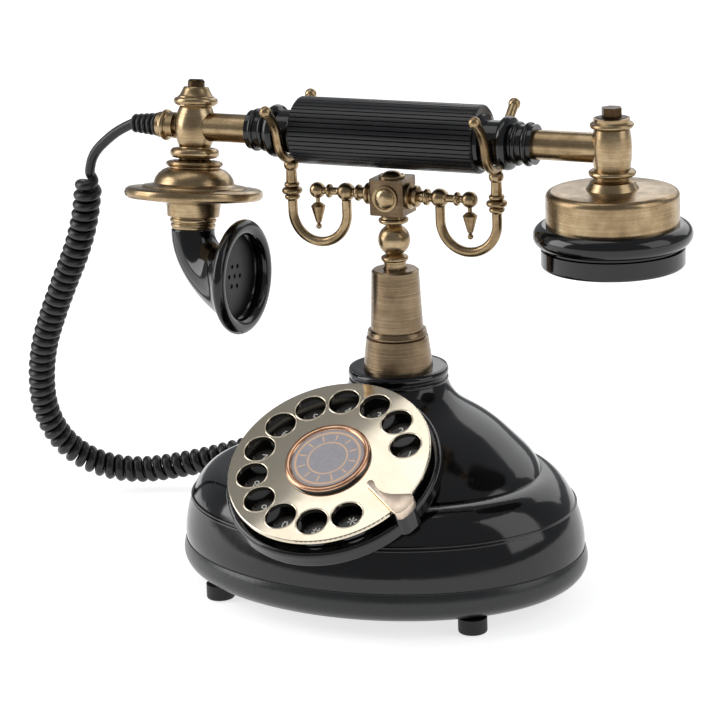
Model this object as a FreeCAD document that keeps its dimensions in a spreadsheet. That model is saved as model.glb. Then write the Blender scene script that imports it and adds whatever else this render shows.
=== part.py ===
import FreeCAD, Part
import math
import os
import Sketcher

Vector = FreeCAD.Vector

# Driving dimensions in millimetres and degrees. The part stands on z = 0, the dial faces -Y
# and the earpiece is on +X.
DIMENSIONS = {
    # Where the base and its column stand
    "column_x": -3.7, "base_y": 8.9, "column_back": 20.8,
    # Oval base
    "base_half_width": 86.5, "base_half_depth": 66.6, "wall": 3.0, "seam_z": 20.0,
    "foot_height": 6.3, "foot_radius": 5.9, "foot_x": 57.0, "foot_y": 40.0, "tray_floor": 4.2,
    "tray_round": 4.5, "shoulder_z": 38.5, "shoulder_inset": 3.3, "shoulder_top": 51.0,
    "kink_inset": 18.0, "kink_back": 5.0, "band_rise": 8.0, "shoulder_round": 6.0, "neck_lean": 2.0,
    "dome_low_z": 60.5, "dome_low_half_width": 56.3, "dome_low_half_depth": 43.4, "dome_low_back": 9.5,
    "dome_z": 66.0, "dome_half_width": 47.6, "dome_half_depth": 37.4, "dome_back": 12.8,
    "dome_top_z": 71.4, "dome_top_half_width": 36.3, "dome_top_half_depth": 29.5, "dome_top_back": 16.5,
    "neck_z": 76.5, "neck_radius": 25.0,
    "collar_radius": 20.6, "collar_z": 88.9, "collar_edge": 5.0, "pillar_radius": 4.2,
    "screw_radius": 1.6, "screw_head": 3.0, "screw_grip": 10.0,
    # Column
    "skirt_height": 16.0, "skirt_low_radius": 14.65, "skirt_top_radius": 12.6,
    "sleeve_height": 26.0, "sleeve_low_radius": 11.0, "sleeve_top_radius": 9.9,
    "stud_radius": 7.4, "stud_wall": 1.2, "nut_radius": 12.0, "nut_height": 5.0,
    "bush_radius": 7.6, "bush_height": 14.0,
    # Small turned detail: broken edges and half the height of a ring
    "edge": 0.8, "bead_half": 1.1,
    # Running and seating clearances
    "run_gap": 0.05, "fit_gap": 0.1, "free_gap": 0.35, "rest_gap": 0.3,
    # Cradle
    "stem_radius": 4.65, "stem_foot_z": 42.0, "stem_ball_z": 143.2, "stem_ball_radius": 6.7,
    "block_z": 162.1, "block_side": 15.0, "block_round": 1.0, "boss_radius": 5.45, "boss_dome": 2.6,
    "arm_radius": 2.4, "tee_x": 21.2, "tee_radius": 3.9, "finial_x": 34.4, "finial_radius": 3.4,
    "drop_length": 12.0, "drop_radius": 3.1, "hook_rod_radius": 2.05, "hook_depth": 22.0,
    "fork_drop": 5.0,
    "fork_x": 46.3, "fork_rod_radius": 2.0, "fork_ring_radius": 4.35, "fork_sweep_angle": 80.0,
    "fork_flare_angle": 40.0, "fork_flare_radius": 18.0, "fork_tip": 5.0, "fork_tip_radius": 2.5,
    "spring_radius": 4.4, "spring_wall": 1.0,
    # Dial
    "dial_forward": 48.8, "dial_z": 68.6, "dial_tilt_angle": 31.5, "wheel_radius": 42.0,
    "wheel_thick": 2.0, "hole_web": 1.408, "hole_inset": 10.3, "hole_step_angle": 25.714,
    "first_hole_angle": 21.9, "plate_drop": 3.0, "plate_thick": 1.5, "plate_inset": 2.0,
    "cup_margin": 2.5, "plate_ledge": 2.0, "cup_depth": 13.0, "cup_floor": 2.0,
    "well_radius": 26.0, "pad_length": 20.0, "pad_low_radius": 28.0,
    "hub_radius": 17.7, "hub_rim": 2.6, "hub_height": 2.2, "card_recess": 0.8,
    "shaft_radius": 3.0, "shaft_length": 33.0, "flange_radius": 7.0, "flange_thick": 1.2,
    "gear_module": 0.8, "gear_teeth": 30.0, "pinion_teeth": 10.0, "gear_thick": 3.0,
    "gear_depth": 19.0, "frame_depth": 29.0, "frame_thick": 1.6, "frame_radius": 23.0,
    "post_radius": 1.8, "post_circle": 20.5, "arbor_radius": 1.5, "cam_radius": 3.6, "cam_thick": 2.0,
    "cam_throw": 0.6, "contact_gap": 0.6, "contact_leaf": 1.4, "contact_block": 4.0, "contact_half": 3.0,
    "coil_spring_radius": 9.5, "coil_spring_bore": 4.0, "coil_spring_thick": 2.5,
    "stop_angle": -25.5, "stop_tip": 20.5, "stop_tip_width": 3.4, "stop_width": 10.6,
    "stop_thick": 1.2, "stop_lift": 0.8, "stop_block": 2.2, "stop_round": 3.6,
    # Handset
    "handset_z": 186.4, "grip_half": 41.0, "grip_radius": 13.0, "tube_radius": 6.0,
    "tube_wall": 1.5, "tube_seat": 3.0, "neck_groove_radius": 9.0, "neck_groove_half": 3.1,
    "ferrule_length": 23.0, "ferrule_bulge": 11.2, "ferrule_end": 8.2, "mouth_x": 91.0,
    "mouth_twist_angle": -9.0,
    "mouth_body_radius": 8.8, "mouth_body_half": 8.7, "mouth_skirt": 7.5, "mouth_cap_height": 8.2,
    "mouth_disc_radius": 29.5,
    "mouth_disc_z": 28.0, "mouth_disc_edge": 3.0, "mouth_neck_radius": 9.2, "mouth_foot_z": 43.5,
    "elbow_radius": 19.0, "elbow_tube": 9.4, "elbow_wall": 2.0, "cup_mouth_radius": 24.6,
    "cup_reach": 25.5, "cup_back": 5.0, "grille_radius": 18.6, "grille_hole": 1.0, "grille_circle": 4.8,
    "grille_thick": 1.5, "grille_recess": 5.0, "capsule_length": 5.0, "capsule_radius": 6.8,
    "boss_length": 8.2, "boss_wall": 1.8, "boss_flange": 6.6, "relief_length": 13.0, "relief_radius": 5.0,
    "ear_x": 96.0, "ear_body_radius": 8.4, "ear_top": 8.0, "ear_low": 8.5, "ear_cap_radius": 26.7,
    "ear_cap_top": 16.0, "ear_cap_low": 30.0, "ear_ring_radius": 32.0, "ear_ring_half": 4.4,
    "ear_lip_radius": 28.9,
    "ear_bottom": 47.5, "ear_plate_radius": 24.0, "ear_plate_inset": 3.0, "ear_plate_thick": 1.8,
    "receiver_radius": 19.0, "receiver_height": 7.0, "bolt_radius": 4.2,
    # Cord
    "cord_radius": 2.2, "coil_radius": 6.25, "gland_radius": 5.0, "gland_length": 12.0,
    "gland_x": 26.0, "gland_back": 65.2, "gland_z": 28.0,
    # Inside the base
    "board_half_width": 30.0, "board_half_depth": 20.0, "board_thick": 1.6, "board_lift": 2.0,
    "switch_half_width": 9.0, "switch_half_depth": 7.0, "ringer_radius": 14.0, "ringer_height": 9.0,
    "jack_half_width": 7.0, "jack_depth": 15.0, "jack_height": 13.0, "jack_slot_half": 4.9,
    "jack_slot_height": 6.8, "jack_slot_depth": 9.0, "ringer_inset": 34.5, "spring_height": 10.0,
}

HOLE_COUNT = 12
GRILLE_HOLES = 6
RELIEF_RIBS = 5
QUARTER_BULGE = math.tan(math.radians(22.5))
BEAD_BULGE = 0.85
HORN_BULGE = 0.35
POST_ANGLES = (60, 180, 300)

doc = FreeCAD.newDocument("RotaryTelephone")
sheet = doc.addObject("Spreadsheet::Sheet", "Sizes")


class Size:
    """A number together with the spreadsheet formula that gives it."""

    def __init__(self, value, formula):
        self.value = float(value)
        self.formula = formula

    def __add__(self, other):
        other = as_size(other)
        return Size(self.value + other.value, f"({self.formula} + {other.formula})")

    def __sub__(self, other):
        other = as_size(other)
        return Size(self.value - other.value, f"({self.formula} - {other.formula})")

    def __mul__(self, other):
        other = as_size(other)
        return Size(self.value * other.value, f"({self.formula} * {other.formula})")

    def __truediv__(self, other):
        other = as_size(other)
        return Size(self.value / other.value, f"({self.formula} / {other.formula})")

    def __neg__(self):
        return self * -1

    __radd__ = __add__
    __rmul__ = __mul__

    def __rsub__(self, other):
        return as_size(other) - self

    def __rtruediv__(self, other):
        return as_size(other) / self


def as_size(number):
    return number if isinstance(number, Size) else Size(number, f"({number})")


def sine(angle):
    return Size(math.sin(math.radians(angle.value)), f"sin({angle.formula})")


def cosine(angle):
    return Size(math.cos(math.radians(angle.value)), f"cos({angle.formula})")


def root(area):
    return Size(math.sqrt(area.value), f"sqrt({area.formula})")


class Sheet:
    """Every alias of the spreadsheet as a Size."""


d = Sheet()
for row, (alias, value) in enumerate(DIMENSIONS.items(), start=1):
    sheet.set(f"A{row}", alias)
    sheet.set(f"B{row}", str(value))
    sheet.setAlias(f"B{row}", alias)
    setattr(d, alias, Size(value, f"Sizes.{alias}"))
doc.recompute()

nodes = []


def bind(thing, prop, size):
    size = as_size(size)
    thing.setExpression(prop, size.formula)


def place(thing, at, axis=None, angle=0):
    rotation = FreeCAD.Rotation()
    if axis is not None:
        rotation = FreeCAD.Rotation(Vector(*axis), as_size(angle).value)
    thing.Placement = FreeCAD.Placement(Vector(*[as_size(c).value for c in at]), rotation)
    for letter, coordinate in zip("xyz", at):
        bind(thing, f"Placement.Base.{letter}", coordinate)
    if axis is not None:
        bind(thing, "Placement.Rotation.Angle", angle)


def node(thing, name):
    thing.Label = name
    nodes.append(thing)
    return thing


def origin_plane(body, role):
    return next(f for f in body.Origin.OriginFeatures if f.Role == role)


def new_sketch(body, role):
    sketch = body.newObject("Sketcher::SketchObject", "Outline")
    sketch.AttachmentSupport = [(origin_plane(body, role), "")]
    sketch.MapMode = "FlatFace"
    return sketch


def draw(sketch, points, closed=True):
    """Lines and arcs through points (x, y) or (x, y, bulge), each coordinate bound to its formula.
    A bulge is the tangent of a quarter of the arc's turn, positive when it turns left, and a fourth
    value sets the arc's radius."""
    spots = [[as_size(v) for v in p[:2]] for p in points]
    count = len(points) if closed else len(points) - 1
    shapes = []
    ends = []
    radii = []
    for i in range(count):
        j = (i + 1) % len(points)
        start = Vector(spots[i][0].value, spots[i][1].value)
        stop = Vector(spots[j][0].value, spots[j][1].value)
        if len(points[i]) == 2:
            shapes.append(Part.LineSegment(start, stop))
            ends.append((1, 2))
            continue
        bulge = points[i][2]
        run_x = spots[j][0] - spots[i][0]
        run_y = spots[j][1] - spots[i][1]
        radius = root(run_x * run_x + run_y * run_y) * ((1 + bulge * bulge) / (4 * abs(bulge)))
        if len(points[i]) == 4:
            radius = points[i][3]
        along = stop - start
        left = Vector(-along.y, along.x)
        centre = (start + stop) / 2 + left * ((1 - bulge * bulge) / (4 * bulge))
        first = math.atan2(start.y - centre.y, start.x - centre.x)
        last = math.atan2(stop.y - centre.y, stop.x - centre.x)
        if bulge < 0:
            first, last = last, first
        if last < first:
            last += 2 * math.pi
        circle = Part.Circle(centre, Vector(0, 0, 1), radius.value)
        shapes.append(Part.ArcOfCircle(circle, first, last))
        ends.append((1, 2) if bulge > 0 else (2, 1))
        radii.append((i, radius))
    sketch.addGeometry(shapes, False)
    rules = []
    bound = []
    for i in range(count if closed else count - 1):
        j = (i + 1) % count
        rules.append(Sketcher.Constraint("Coincident", i, ends[i][1], j, ends[j][0]))
    for i, (x, y) in enumerate(spots):
        edge = min(i, count - 1)
        corner = ends[edge][0] if i == edge else ends[edge][1]
        for kind, size in (("DistanceX", x), ("DistanceY", y)):
            bound.append((len(rules), size))
            rules.append(Sketcher.Constraint(kind, -1, 1, edge, corner, size.value))
    for i, radius in radii:
        bound.append((len(rules), radius))
        rules.append(Sketcher.Constraint("Radius", i, radius.value))
    sketch.addConstraint(rules)
    for index, size in bound:
        bind(sketch, f"Constraints[{index}]", size)


def circle_sketch(body, role, x, y, radius):
    sketch = new_sketch(body, role)
    x, y, radius = as_size(x), as_size(y), as_size(radius)
    sketch.addGeometry(Part.Circle(Vector(x.value, y.value), Vector(0, 0, 1), radius.value), False)
    sketch.addConstraint([
        Sketcher.Constraint("DistanceX", -1, 1, 0, 3, x.value),
        Sketcher.Constraint("DistanceY", -1, 1, 0, 3, y.value),
        Sketcher.Constraint("Radius", 0, radius.value),
    ])
    for index, size in enumerate((x, y, radius)):
        bind(sketch, f"Constraints[{index}]", size)
    return sketch


def turned(profile):
    """A solid of revolution about its own Z axis from a profile of (radius, z) points."""
    body = doc.addObject("PartDesign::Body", "Turned")
    sketch = new_sketch(body, "XZ_Plane")
    draw(sketch, profile)
    revolution = body.newObject("PartDesign::Revolution", "Revolution")
    revolution.Profile = sketch
    revolution.ReferenceAxis = (sketch, ["V_Axis"])
    revolution.Angle = 360
    return body


def padded(points, low, high):
    """A flat outline in XY between two heights."""
    body = doc.addObject("PartDesign::Body", "Padded")
    sketch = new_sketch(body, "XY_Plane")
    draw(sketch, points)
    bind(sketch, "AttachmentOffset.Base.z", low)
    pad = body.newObject("PartDesign::Pad", "Pad")
    pad.Profile = sketch
    bind(pad, "Length", as_size(high) - low)
    return body


def pipe(points, role, rim_role, radius):
    """A round rod along a flat path that starts at its origin, square to the rim's plane."""
    body = doc.addObject("PartDesign::Body", "Rod")
    path = new_sketch(body, role)
    draw(path, points, closed=False)
    rim = circle_sketch(body, rim_role, 0, 0, radius)
    sweep = body.newObject("PartDesign::AdditivePipe", "Pipe")
    sweep.Profile = rim
    sweep.Spine = path
    return body


def solid(kind, at, axis=None, angle=0, **sizes):
    thing = doc.addObject(f"Part::{kind}", kind)
    for prop, size in sizes.items():
        bind(thing, prop, size)
    place(thing, at, axis, angle)
    return thing


def box(x, y, z, half_x, half_y, height):
    return solid("Box", (x - half_x, y - half_y, z), Length=half_x * 2, Width=half_y * 2, Height=height)


def fused(*things):
    union = doc.addObject("Part::MultiFuse", "Union")
    union.Shapes = list(things)
    return union


def cut(base, *tools):
    difference = doc.addObject("Part::Cut", "Difference")
    difference.Base = base
    difference.Tool = tools[0] if len(tools) == 1 else fused(*tools)
    return difference


def shared(base, tool):
    common = doc.addObject("Part::Common", "Shared")
    common.Base = base
    common.Tool = tool
    return common


def group(*things):
    together = doc.addObject("Part::Compound", "Group")
    together.Links = list(things)
    return together


def oval_loft(sections):
    """A solid through ovals, each (half width, half depth, how far back, height)."""
    ovals = []
    for half_width, half_depth, back, z in sections:
        oval = doc.addObject("Part::Ellipse", "Oval")
        bind(oval, "MajorRadius", half_width)
        bind(oval, "MinorRadius", half_depth)
        place(oval, (d.column_x, d.base_y + back, z))
        ovals.append(oval)
    loft = doc.addObject("Part::Loft", "Loft")
    loft.Sections = ovals
    loft.Solid = True
    loft.Ruled = False
    return loft


column_y = d.base_y + d.column_back
skirt_top = d.collar_z + d.skirt_height
sleeve_top = skirt_top + d.sleeve_height
fork_foot = d.block_z - d.fork_drop
hole_circle = d.wheel_radius - d.hole_inset
hole_radius = hole_circle * sine(d.hole_step_angle / 2) - d.hole_web / 2
plate_radius = d.wheel_radius - d.plate_inset
cup_radius = d.wheel_radius + d.cup_margin
pinion_x = d.gear_module * (d.gear_teeth + d.pinion_teeth) / 2
board_x = d.board_half_width - d.pillar_radius
board_y = d.board_half_depth - d.pillar_radius
board_corners = [(d.column_x + board_x * sx, column_y + board_y * sy) for sx in (-1, 1) for sy in (-1, 1)]
pillars = [(d.column_x + d.foot_x * sx, d.base_y + d.foot_y * sy) for sx in (-1, 1) for sy in (-1, 1)]


def on_dial(thing, x=0, y=0, depth=0):
    """Places a piece x across, y up the slope and depth below the finger wheel's top face."""
    across = d.column_x + x
    slope = sine(d.dial_tilt_angle)
    level = cosine(d.dial_tilt_angle)
    back = d.base_y - d.dial_forward + as_size(y) * level + as_size(depth) * slope
    up = d.dial_z + as_size(y) * slope - as_size(depth) * level
    place(thing, (across, back, up), (1, 0, 0), d.dial_tilt_angle)
    return thing


def dial_cylinder(radius, depth, height, x=0, y=0):
    rod = solid("Cylinder", (0, 0, 0), Radius=radius, Height=height)
    return on_dial(rod, x, y, as_size(depth))


def base_solid(inset):
    """The base's outer form, or its hollow when inset by the wall."""
    inset = as_size(inset)
    width = d.base_half_width - inset
    depth = d.base_half_depth - inset
    kink_width = width - d.kink_inset
    kink_depth = depth - d.kink_inset * 0.8
    lean = d.neck_lean
    shoulder = oval_loft([
        (width, depth, 0, d.seam_z - inset),
        (width - d.shoulder_inset / 10, depth - d.shoulder_inset / 10, 0, d.seam_z + d.band_rise),
        (width - d.shoulder_inset, depth - d.shoulder_inset, 0, d.shoulder_z - inset / 2),
        (width - d.shoulder_inset * 2, depth - d.shoulder_inset * 1.6, 0,
         d.shoulder_z + d.shoulder_round - inset),
        (kink_width, kink_depth, d.kink_back / 2, d.shoulder_top - inset),
    ])
    waist = d.collar_radius - inset * 2
    dome = oval_loft([
        (kink_width, kink_depth, d.kink_back / 2, d.shoulder_top - d.shoulder_round - inset),
        (kink_width - lean, kink_depth - lean, d.kink_back, d.shoulder_top + lean / 2 - inset),
        (d.dome_low_half_width - inset, d.dome_low_half_depth - inset, d.dome_low_back,
         d.dome_low_z - inset),
        (d.dome_half_width - inset, d.dome_half_depth - inset, d.dome_back, d.dome_z - inset),
        (d.dome_top_half_width - inset, d.dome_top_half_depth - inset, d.dome_top_back,
         d.dome_top_z - inset),
        (d.neck_radius + lean / 2 - inset, d.neck_radius - lean - inset, d.column_back - lean,
         d.neck_z - inset),
        (waist, waist, d.column_back, d.collar_z - d.collar_edge - inset),
        (waist, waist, d.column_back, d.collar_z - inset),
    ])
    return fused(shoulder, dome)


def gland_at(along):
    """A point on the cord gland's axis, measured backwards from its seat in the shell's wall."""
    return (d.column_x - d.gland_x, d.base_y + d.gland_back + along, d.gland_z)


def make_base_shell():
    outer = base_solid(0)
    hollow = base_solid(d.wall)
    pad = solid("Cone", (0, 0, 0), Radius1=d.pad_low_radius, Radius2=plate_radius,
                Height=d.pad_length)
    on_dial(pad, depth=d.cup_depth + d.pad_length)
    posts = [solid("Cylinder", (x, y, d.seam_z), Radius=d.pillar_radius, Height=d.shoulder_top)
             for x, y in pillars]
    screw_bores = [solid("Cylinder", (x, y, 0), Radius=d.screw_radius + d.fit_gap,
                         Height=d.seam_z + d.screw_grip + d.fit_gap)
                   for x, y in pillars]
    well = dial_cylinder(d.well_radius, d.cup_depth + d.pad_length * 2, d.pad_length * 2)
    seat = dial_cylinder(cup_radius + d.fit_gap, d.cup_depth, d.cup_depth * 3)
    column_hole = solid("Cylinder", (d.column_x, column_y, d.dome_z), Radius=d.stud_radius + d.fit_gap,
                        Height=d.collar_z)
    below_seam = solid("Box", (d.column_x - d.base_half_width * 2, d.base_y - d.base_half_depth * 2, 0),
                       Length=d.base_half_width * 4, Width=d.base_half_depth * 4, Height=d.seam_z)
    jack_hole = box(d.column_x, d.base_y + d.base_half_depth, d.seam_z, d.jack_half_width + d.fit_gap,
                    d.jack_depth, d.jack_height + d.fit_gap)
    gland_hole = solid("Cylinder", gland_at(-d.gland_length * 2), (-1, 0, 0), 90,
                       Radius=d.gland_radius + d.fit_gap, Height=d.gland_length * 3)
    shell = fused(cut(fused(outer, pad), hollow), shared(outer, fused(*posts)))
    openings = [below_seam, well, seat, column_hole, jack_hole, gland_hole] + screw_bores
    return node(cut(shell, *openings), "base_shell")


def make_base_tray():
    width = d.base_half_width
    depth = d.base_half_depth
    curve = d.tray_round
    outer = oval_loft([
        (width - curve * 2, depth - curve * 2, 0, d.foot_height),
        (width - curve, depth - curve, 0, d.foot_height + curve * 0.2),
        (width - curve * 0.25, depth - curve * 0.25, 0, d.foot_height + curve * 0.7),
        (width, depth, 0, d.seam_z),
    ])
    inside = d.wall + curve
    hollow = oval_loft([
        (width - inside, depth - inside, 0, d.foot_height + d.tray_floor),
        (width - d.wall, depth - d.wall, 0, d.seam_z + d.tray_floor),
    ])
    posts = [solid("Cylinder", (x, y, d.foot_height + d.tray_floor / 2), Radius=d.pillar_radius,
                   Height=d.seam_z - d.foot_height - d.tray_floor / 2)
             for x, y in pillars]
    stands = [solid("Cylinder", (x, y, d.foot_height + d.tray_floor / 2), Radius=d.pillar_radius,
                    Height=d.tray_floor / 2 + d.board_lift)
              for x, y in board_corners]
    holes = [solid("Cylinder", (x, y, 0), Radius=d.screw_radius + d.fit_gap, Height=d.seam_z * 2)
             for x, y in pillars]
    return node(cut(fused(cut(outer, hollow), *posts, *stands), *holes), "base_tray")


def make_feet_and_screws():
    recess = d.screw_head + d.fit_gap
    foot = [(d.screw_radius + d.fit_gap, d.foot_height), (d.screw_radius + d.fit_gap, d.foot_height / 2),
            (recess, d.foot_height / 2), (recess, 0), (d.foot_radius - d.edge, 0, QUARTER_BULGE),
            (d.foot_radius, d.edge), (d.foot_radius, d.foot_height)]
    top = d.seam_z + d.screw_grip
    screw = [(0, d.foot_height / 2 - d.screw_radius), (d.screw_head, d.foot_height / 2 - d.screw_radius),
             (d.screw_head, d.foot_height / 2), (d.screw_radius, d.foot_height / 2),
             (d.screw_radius, top), (0, top)]
    feet = []
    screws = []
    for x, y in pillars:
        for profile, kept in ((foot, feet), (screw, screws)):
            piece = turned(profile)
            place(piece, (x, y, 0))
            kept.append(piece)
    node(group(*feet), "rubber_feet")
    node(group(*screws), "base_screws")


def on_column(profile, name):
    piece = turned(profile)
    place(piece, (d.column_x, column_y, 0))
    return node(piece, name)


def make_column():
    low = d.collar_z
    top = sleeve_top
    edge = d.edge
    bore = d.stud_radius + d.fit_gap
    bush = d.bush_radius + d.fit_gap
    mouth = d.stem_radius + d.free_gap
    groove = d.skirt_top_radius - edge
    on_column([
        (bore, low), (d.skirt_low_radius, low), (d.skirt_low_radius - edge / 4, low + edge * 2),
        (d.skirt_top_radius + edge / 2, skirt_top - edge * 4), (groove, skirt_top - edge * 3.4),
        (groove, skirt_top - edge * 2.6), (d.skirt_top_radius, skirt_top - edge * 2),
        (d.skirt_top_radius - edge / 2, skirt_top), (bore, skirt_top),
    ], "column_skirt")
    on_column([
        (bush, skirt_top), (d.sleeve_low_radius, skirt_top), (d.sleeve_top_radius, top - edge),
        (d.sleeve_top_radius - edge, top), (mouth, top), (mouth, top - d.wall), (bush, top - d.wall),
    ], "column_sleeve")
    under = low - d.wall
    inner = d.stud_radius - d.stud_wall
    on_column([
        (inner, under - d.nut_height), (d.nut_radius, under - d.nut_height), (d.nut_radius, under),
        (d.stud_radius, under), (d.stud_radius, skirt_top), (inner, skirt_top),
    ], "column_nut")
    slip = d.stem_radius + d.run_gap
    bush_top = skirt_top + d.bush_height
    on_column([(slip, skirt_top), (d.bush_radius, skirt_top), (d.bush_radius, bush_top), (slip, bush_top)],
              "stem_bush")


def make_inside():
    floor = d.foot_height + d.tray_floor
    board_low = floor + d.board_lift
    board_top = board_low + d.board_thick
    node(box(d.column_x, column_y, board_low, d.board_half_width, d.board_half_depth, d.board_thick),
         "circuit_board")
    spring_low = d.stem_foot_z - d.spring_height
    spring_top = d.stem_foot_z - d.fit_gap
    inner = d.spring_radius - d.spring_wall
    switch_height = spring_low - board_top
    node(box(d.column_x, column_y, board_top, d.switch_half_width, d.switch_half_depth, switch_height),
         "hook_switch")
    on_column([(inner, spring_low), (d.spring_radius, spring_low), (d.spring_radius, spring_top),
               (inner, spring_top)], "hook_spring")
    top = floor + d.ringer_height
    ringer = turned([
        (0, floor), (d.ringer_radius, floor), (d.ringer_radius, top - d.edge, QUARTER_BULGE),
        (d.ringer_radius - d.edge, top), (0, top),
    ])
    place(ringer, (d.column_x + d.base_half_width - d.ringer_inset, d.base_y, 0))
    node(ringer, "ringer")
    jack_y = d.base_y + d.base_half_depth - d.jack_depth / 2 - d.wall / 2
    jack = box(d.column_x, jack_y, d.seam_z, d.jack_half_width, d.jack_depth / 2, d.jack_height)
    slot = box(d.column_x, jack_y + d.jack_depth / 2, d.seam_z + d.wall, d.jack_slot_half, d.jack_slot_depth,
               d.jack_slot_height)
    node(cut(jack, slot), "line_jack")
    hole = d.cord_radius + d.fit_gap
    collar = d.gland_radius + d.bead_half
    nose = d.cord_radius + d.bead_half
    gland = turned([
        (hole, -d.gland_length), (d.gland_radius, -d.gland_length), (d.gland_radius, 0), (collar, 0),
        (collar, d.wall), (nose, d.gland_length - d.wall), (hole, d.gland_length - d.wall),
    ])
    place(gland, gland_at(0), (-1, 0, 0), 90)
    node(gland, "cord_gland")


def polar(radius, angle):
    return radius * cosine(angle), radius * sine(angle)


def dial_turned(profile, name=None, x=0):
    piece = on_dial(turned(profile), x)
    return node(piece, name) if name else piece


def make_finger_wheel():
    edge = d.wheel_thick / 4
    disc = dial_turned([
        (0, -d.wheel_thick), (d.wheel_radius - edge, -d.wheel_thick), (d.wheel_radius, edge - d.wheel_thick),
        (d.wheel_radius, -edge, QUARTER_BULGE), (d.wheel_radius - edge, 0), (0, 0),
    ])
    holes = []
    for index in range(HOLE_COUNT):
        x, y = polar(hole_circle, d.first_hole_angle + d.hole_step_angle * index)
        holes.append(dial_cylinder(hole_radius, d.wheel_thick * 2, d.wheel_thick * 3, x, y))
    node(cut(disc, *holes), "finger_wheel")


def make_hub():
    edge = d.edge
    inside = d.hub_radius - d.hub_rim
    dial_turned([
        (inside, 0), (d.hub_radius, 0), (d.hub_radius, d.hub_height - edge, QUARTER_BULGE),
        (d.hub_radius - edge, d.hub_height), (inside + edge, d.hub_height), (inside, d.hub_height - edge),
    ], "hub_bezel")
    card_top = d.hub_height - d.card_recess
    card = inside - d.fit_gap
    dial_turned([(0, 0), (card, 0), (card, card_top), (0, card_top)], "hub_card")


def make_dial_case():
    edge = d.edge
    plate_top = d.wheel_thick + d.plate_drop
    plate_low = plate_top + d.plate_thick
    outer = cup_radius
    inner = plate_radius + d.rest_gap
    ledge = plate_radius - d.plate_ledge
    rim = plate_top + edge
    bore = d.shaft_radius + d.run_gap
    floor = d.cup_depth - d.cup_floor
    cup = dial_turned([
        (bore, -d.cup_depth), (outer - edge * 2, -d.cup_depth, QUARTER_BULGE),
        (outer, edge * 2 - d.cup_depth),
        (outer, -rim - edge * 2, QUARTER_BULGE), (outer - edge * 2, -rim), (inner, -rim),
        (inner, -plate_low),
        (ledge, -plate_low), (ledge, -floor), (bore, -floor),
    ])
    near = d.wheel_radius + d.free_gap
    far = outer + d.stop_block
    half = d.stop_width / 2
    end = [(far - d.stop_round, -half, QUARTER_BULGE), (far, d.stop_round - half),
           (far, half - d.stop_round, QUARTER_BULGE), (far - d.stop_round, half)]
    foot = [spin(p[0], p[1], d.stop_angle) + tuple(p[2:]) for p in [(near, -half), *end, (near, half)]]
    block = padded(foot, edge * 2 - d.cup_depth, d.stop_lift)
    on_dial(block)
    arbor_hole = dial_cylinder(d.arbor_radius + d.run_gap, d.cup_depth * 2, d.cup_depth * 2, pinion_x)
    node(cut(fused(cup, block), arbor_hole), "dial_housing")
    hole = d.flange_radius + d.free_gap * 2
    dial_turned([(hole, -plate_low), (plate_radius, -plate_low), (plate_radius, -plate_top),
                 (hole, -plate_top)], "number_plate")
    tip = d.stop_tip_width / 2
    horn = [(d.stop_tip, -tip), (near, -half), *end, (near - tip * 2, half, HORN_BULGE),
            (d.stop_tip, tip, BEAD_BULGE)]
    outline = [spin(p[0], p[1], d.stop_angle) + tuple(p[2:]) for p in horn]
    node(on_dial(padded(outline, d.stop_lift, d.stop_lift + d.stop_thick)), "finger_stop")


def spin(along, aside, angle):
    """A point given along and beside a ray at an angle, in plain coordinates."""
    along, aside = as_size(along), as_size(aside)
    return along * cosine(angle) - aside * sine(angle), along * sine(angle) + aside * cosine(angle)


def toothed(teeth, phase, bore):
    """A spur gear with straight-sided teeth, narrow enough to run free in its mate."""
    pitch_radius = d.gear_module * teeth / 2
    foot = pitch_radius - d.gear_module * 1.1
    tip = pitch_radius + d.gear_module * 0.85
    body = turned([(bore, 0), (foot, 0), (foot, d.gear_thick), (bore, d.gear_thick)])
    sketch = new_sketch(body, "XY_Plane")
    low = d.gear_module * 0.95
    high = d.gear_module * 0.34
    inside = foot - d.gear_module * 0.4
    corners = ((inside, -low), (tip, -high), (tip, high), (inside, low))
    draw(sketch, [spin(r, t, phase) for r, t in corners])
    tooth = body.newObject("PartDesign::Pad", "Tooth")
    tooth.Profile = sketch
    bind(tooth, "Length", d.gear_thick)
    ring = body.newObject("PartDesign::PolarPattern", "Teeth")
    ring.Originals = [tooth]
    ring.Axis = (sketch, ["N_Axis"])
    ring.Angle = 360
    bind(ring, "Occurrences", teeth)
    body.Tip = ring
    return body


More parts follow.
